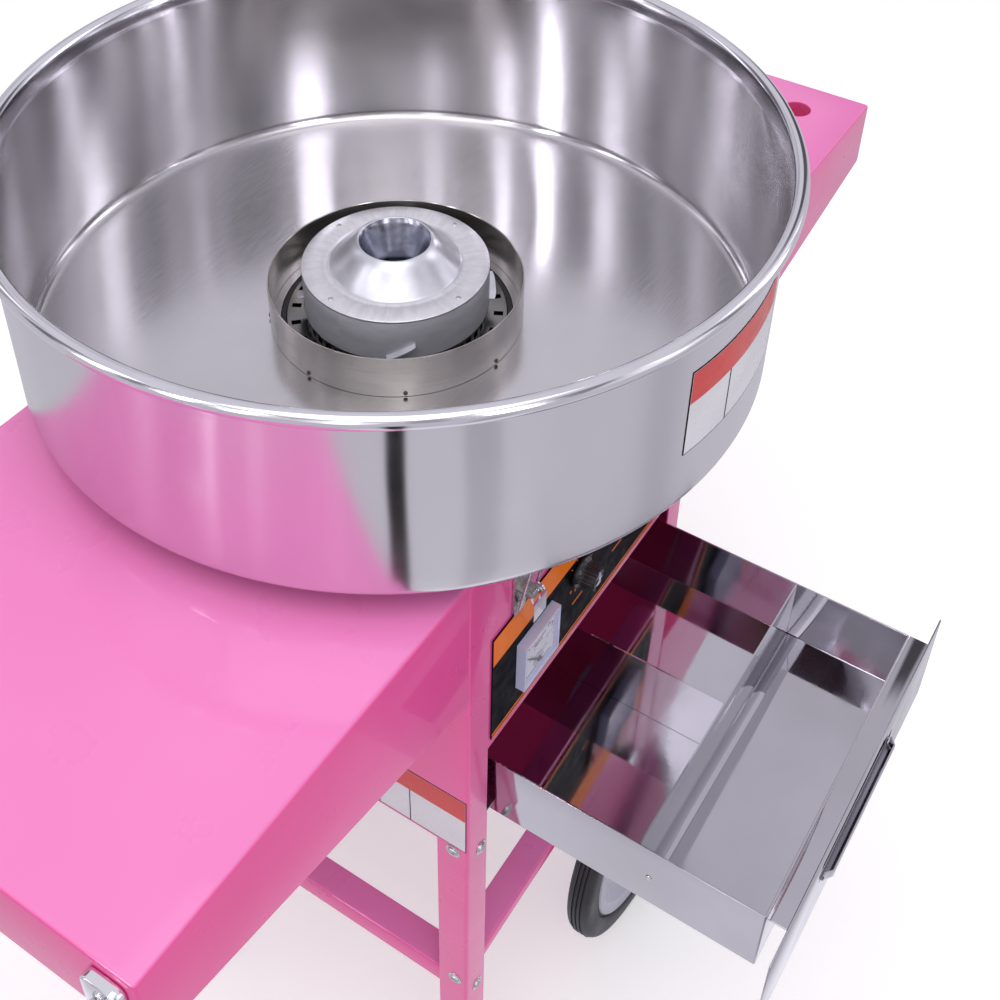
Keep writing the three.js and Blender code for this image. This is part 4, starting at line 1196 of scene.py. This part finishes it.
# ---- latches ----
def make_latch(name, side):
    base_low, base_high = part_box("latch_base_" + name)
    wall = base_high.y if side < 0 else base_low.y
    y = wall + side * 1.6 * MM
    centre = middle("latch_base_" + name)
    for k, z in enumerate((base_high.z - 4 * MM, base_low.z + 3 * MM)):
        dome_head(f"latch_rivet_{name}_{k}", (centre.x, y, z), (0, side, 0), "cart", radius=1.9 * MM,
                  height=1.0 * MM, recess=None, washer=False)
    joint = next(j for j in frame["joints"] if j["name"] == f"bail_{name}_swing")
    pivot = Vector(joint["pos_m"])
    lean = Matrix.Rotation(math.radians(-10 * side), 3, "X")
    half, length, wire = 9.2 * MM, 79 * MM, 1.0 * MM
    toe = half - 2.7 * MM
    shape = [(toe, 0, 0), (half, 0, 0), (half, 0, length), (-half, 0, length), (-half, 0, 0), (-toe, 0, 0)]
    path = [pivot + lean @ p for p in rounded_path(shape, 1.8 * MM, 6)]
    dress(tube(f"latch_bail_wire_{name}", path, wire, 16), "bail_" + name, ZINC, ["latch_bail_" + name])


# ---- in the cabinet ----
def make_motor_screws():
    motor, top = middle("motor"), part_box("motor")[1].z
    for i in range(4):
        point = polar(54 * MM, 45 + 90 * i, top - 3 * MM, motor)
        dome_head(f"motor_screw_{i}", point, (0, 0, -1), "cart", radius=3 * MM, height=2 * MM, washer=False)


# ---- stage ----
def make_stage():
    bm = bmesh.new()
    bmesh.ops.create_grid(bm, x_segments=1, y_segments=1, size=14)
    floor = from_bmesh("studio_floor", bm)
    f = Finish("studio_floor", Roughness=0.9, Emission_Strength=0.3)
    f.shader.inputs["Emission Color"].default_value = rgb(1, 1, 1)
    f.colour(f.blend(f.noise(1.5), rgb(0.94, 0.94, 0.94), rgb(0.97, 0.97, 0.97)))
    floor.data.materials.append(f.material)
    floor.visible_glossy = False
    floor.visible_diffuse = False


# (azimuth, half width, strength) of the studio's strip lights and black flags, seen from the pan
STRIPS = ((-117, 5, 5), (141, 3.5, 3.2), (179, 2.2, 4), (164, 1.8, 14), (-38, 5, 3), (-157, 3, 1.4), (97, 3, 1.0),
          (-75, 2.5, 0.9), (-24, 2, 0.8))
FLAGS = ((2, 10, 0.85), (77, 9, 0.75), (125, 5, 0.7), (50, 4, 0.25), (-56, 4, 0.65), (-95, 8, 0.6), (-170, 4, 0.55),
         (152, 3, 0.6), (-137, 4, 0.4), (108, 3, 0.4))
LOW_FLAGS = ((-145, 2.6, 1.0), (-120, 5, 0.25), (-60, 6, 0.2))
DARKEST_FLAG = 0.85


def make_world():
    """White to the camera, soft to matt surfaces, and a room of strips and flags in the steel's reflections."""
    world = bpy.data.worlds.new("studio")
    bpy.context.scene.world = world
    world.use_nodes = True
    world.node_tree.nodes.clear()
    w = Recipe(world.node_tree)
    direction = w.node("TexCoord").outputs["Generated"]
    split = w.node("SeparateXYZ", {0: direction})
    height = split.outputs["Z"]
    flat = w.node("CombineXYZ", {0: split.outputs["X"], 1: split.outputs["Y"]}).outputs[0]
    heading = w.node("VectorMath", {0: flat}, operation="NORMALIZE").outputs[0]

    def near(azimuth, half):
        """One where the heading is within half degrees of the azimuth, fading to nothing beside it."""
        aim = (math.cos(math.radians(azimuth)), math.sin(math.radians(azimuth)), 0)
        along = w.node("VectorMath", {0: heading, 1: aim}, operation="DOT_PRODUCT").outputs["Value"]
        inner, outer = math.cos(math.radians(half * 0.7)), math.cos(math.radians(half * 1.4))
        return w.spread(along, 0.0, 1.0, outer, inner, "SMOOTHSTEP")

    def total(rows):
        value = 0.0
        for azimuth, half, strength in rows:
            value = w.math("ADD", value, w.math("MULTIPLY", near(azimuth, half), strength))
        return value

    above = w.spread(height, 0.0, 1.0, 0.0, 0.12, "SMOOTHSTEP")
    below_ceiling = w.spread(height, 1.0, 0.0, 0.58, 0.68, "SMOOTHSTEP")
    upright = w.math("MULTIPLY", above, below_ceiling)
    underneath = w.spread(height, 1.0, 0.0, -0.5, -0.2, "SMOOTHSTEP")
    strips = w.math("MULTIPLY", total(STRIPS), upright)
    flags = w.math("MULTIPLY", w.math("MINIMUM", total(FLAGS), DARKEST_FLAG), upright)
    low_flags = w.math("MULTIPLY", total(LOW_FLAGS), underneath)
    room = w.spread(height, 0.68, 0.84, 0.3, 0.66)
    glow = w.spread(height, 0.3, 0.0, -0.88, -0.80)
    shaded = w.math("MULTIPLY", room, w.math("SUBTRACT", w.math("SUBTRACT", 1.0, flags), low_flags))
    level = w.math("ADD", w.math("ADD", shaded, strips), glow)
    mirrored = w.node("Background", {"Color": rgb(0.93, 0.91, 1.0), "Strength": level}).outputs[0]
    ambient = w.spread(height, 0.78, 0.62, -0.3, 0.3)
    soft = w.node("Background", {"Color": rgb(0.97, 0.95, 1.0), "Strength": ambient}).outputs[0]
    white = w.node("Background", {"Color": rgb(1, 1, 1), "Strength": 1.0}).outputs[0]
    path = w.node("LightPath")
    seen = w.node("MixShader", {0: path.outputs["Is Glossy Ray"], 1: soft, 2: mirrored}).outputs[0]
    final = w.node("MixShader", {0: path.outputs["Is Camera Ray"], 1: seen, 2: white}).outputs[0]
    w.node("OutputWorld", {"Surface": final})


def soft_light(name, point, aim, size, power, colour=(1, 1, 1)):
    light = bpy.data.lights.new(name, "AREA")
    light.shape = "RECTANGLE"
    light.size, light.size_y = size
    light.energy = power
    light.color = colour
    lamp = bpy.data.objects.new(name, light)
    bpy.context.scene.collection.objects.link(lamp)
    lamp.matrix_world = facing(Vector(point) - Vector(aim), point, (0, 1, 0))
    return lamp


def make_lights():
    """A large box overhead, half of its light kept out of reflections, and two weak ones from the sides."""
    aim = Vector((AXIS.x, AXIS.y, 0.7))
    top = (AXIS.x - 0.8, AXIS.y - 0.5, 3.0)
    soft_light("top_box", top, aim, (2.0, 2.0), 17)
    soft_light("top_fill", top, aim, (2.0, 2.0), 24).visible_glossy = False
    soft_light("left_box", (AXIS.x - 2.6, AXIS.y - 0.6, 1.7), aim, (1.2, 1.8), 3, (1.0, 0.97, 1.0))
    soft_light("front_box", (AXIS.x + 0.4, AXIS.y - 3.0, 1.4), aim, (1.6, 1.6), 4, (0.98, 0.97, 1.0))


CAMERA_FROM_PAN = Vector((-614.2, -459.9, 497.8)) * MM  # from the centre of the rim bead
CAMERA_AZIMUTH, CAMERA_DROP, CAMERA_ROLL = -57.45, 38.16, 0.64
LENS, SHIFT = 51.99, (0.0192, -0.2325)


def make_camera():
    data = bpy.data.cameras.new("camera")
    data.lens = LENS
    data.sensor_width = 36
    data.shift_x, data.shift_y = SHIFT
    data.clip_start = 0.01
    camera = bpy.data.objects.new("camera", data)
    bpy.context.scene.collection.objects.link(camera)
    bead = Vector((AXIS.x, AXIS.y, BOWL_HIGH.z - BEAD_R))
    tilt = Euler((math.radians(90 - CAMERA_DROP), 0, math.radians(CAMERA_AZIMUTH)), "XYZ").to_matrix()
    roll = Matrix.Rotation(math.radians(CAMERA_ROLL), 3, "Z")
    camera.matrix_world = Matrix.Translation(bead + CAMERA_FROM_PAN) @ (tilt @ roll).to_4x4()
    bpy.context.scene.camera = camera


make_camera()
paint_cad_nodes()
make_bowl()
make_shield()
make_cap()
make_cup()
make_heater()
make_vents()
make_sheet_metal()
make_bolts()
make_drawer()
make_controls()
make_placards()
make_wheel(-1, "front")
make_wheel(1, "back")
make_handle()
make_latch("front", -1)
make_latch("back", 1)
make_motor_screws()
make_stage()
make_world()
make_lights()
bpy.context.scene.view_settings.view_transform = "Standard"
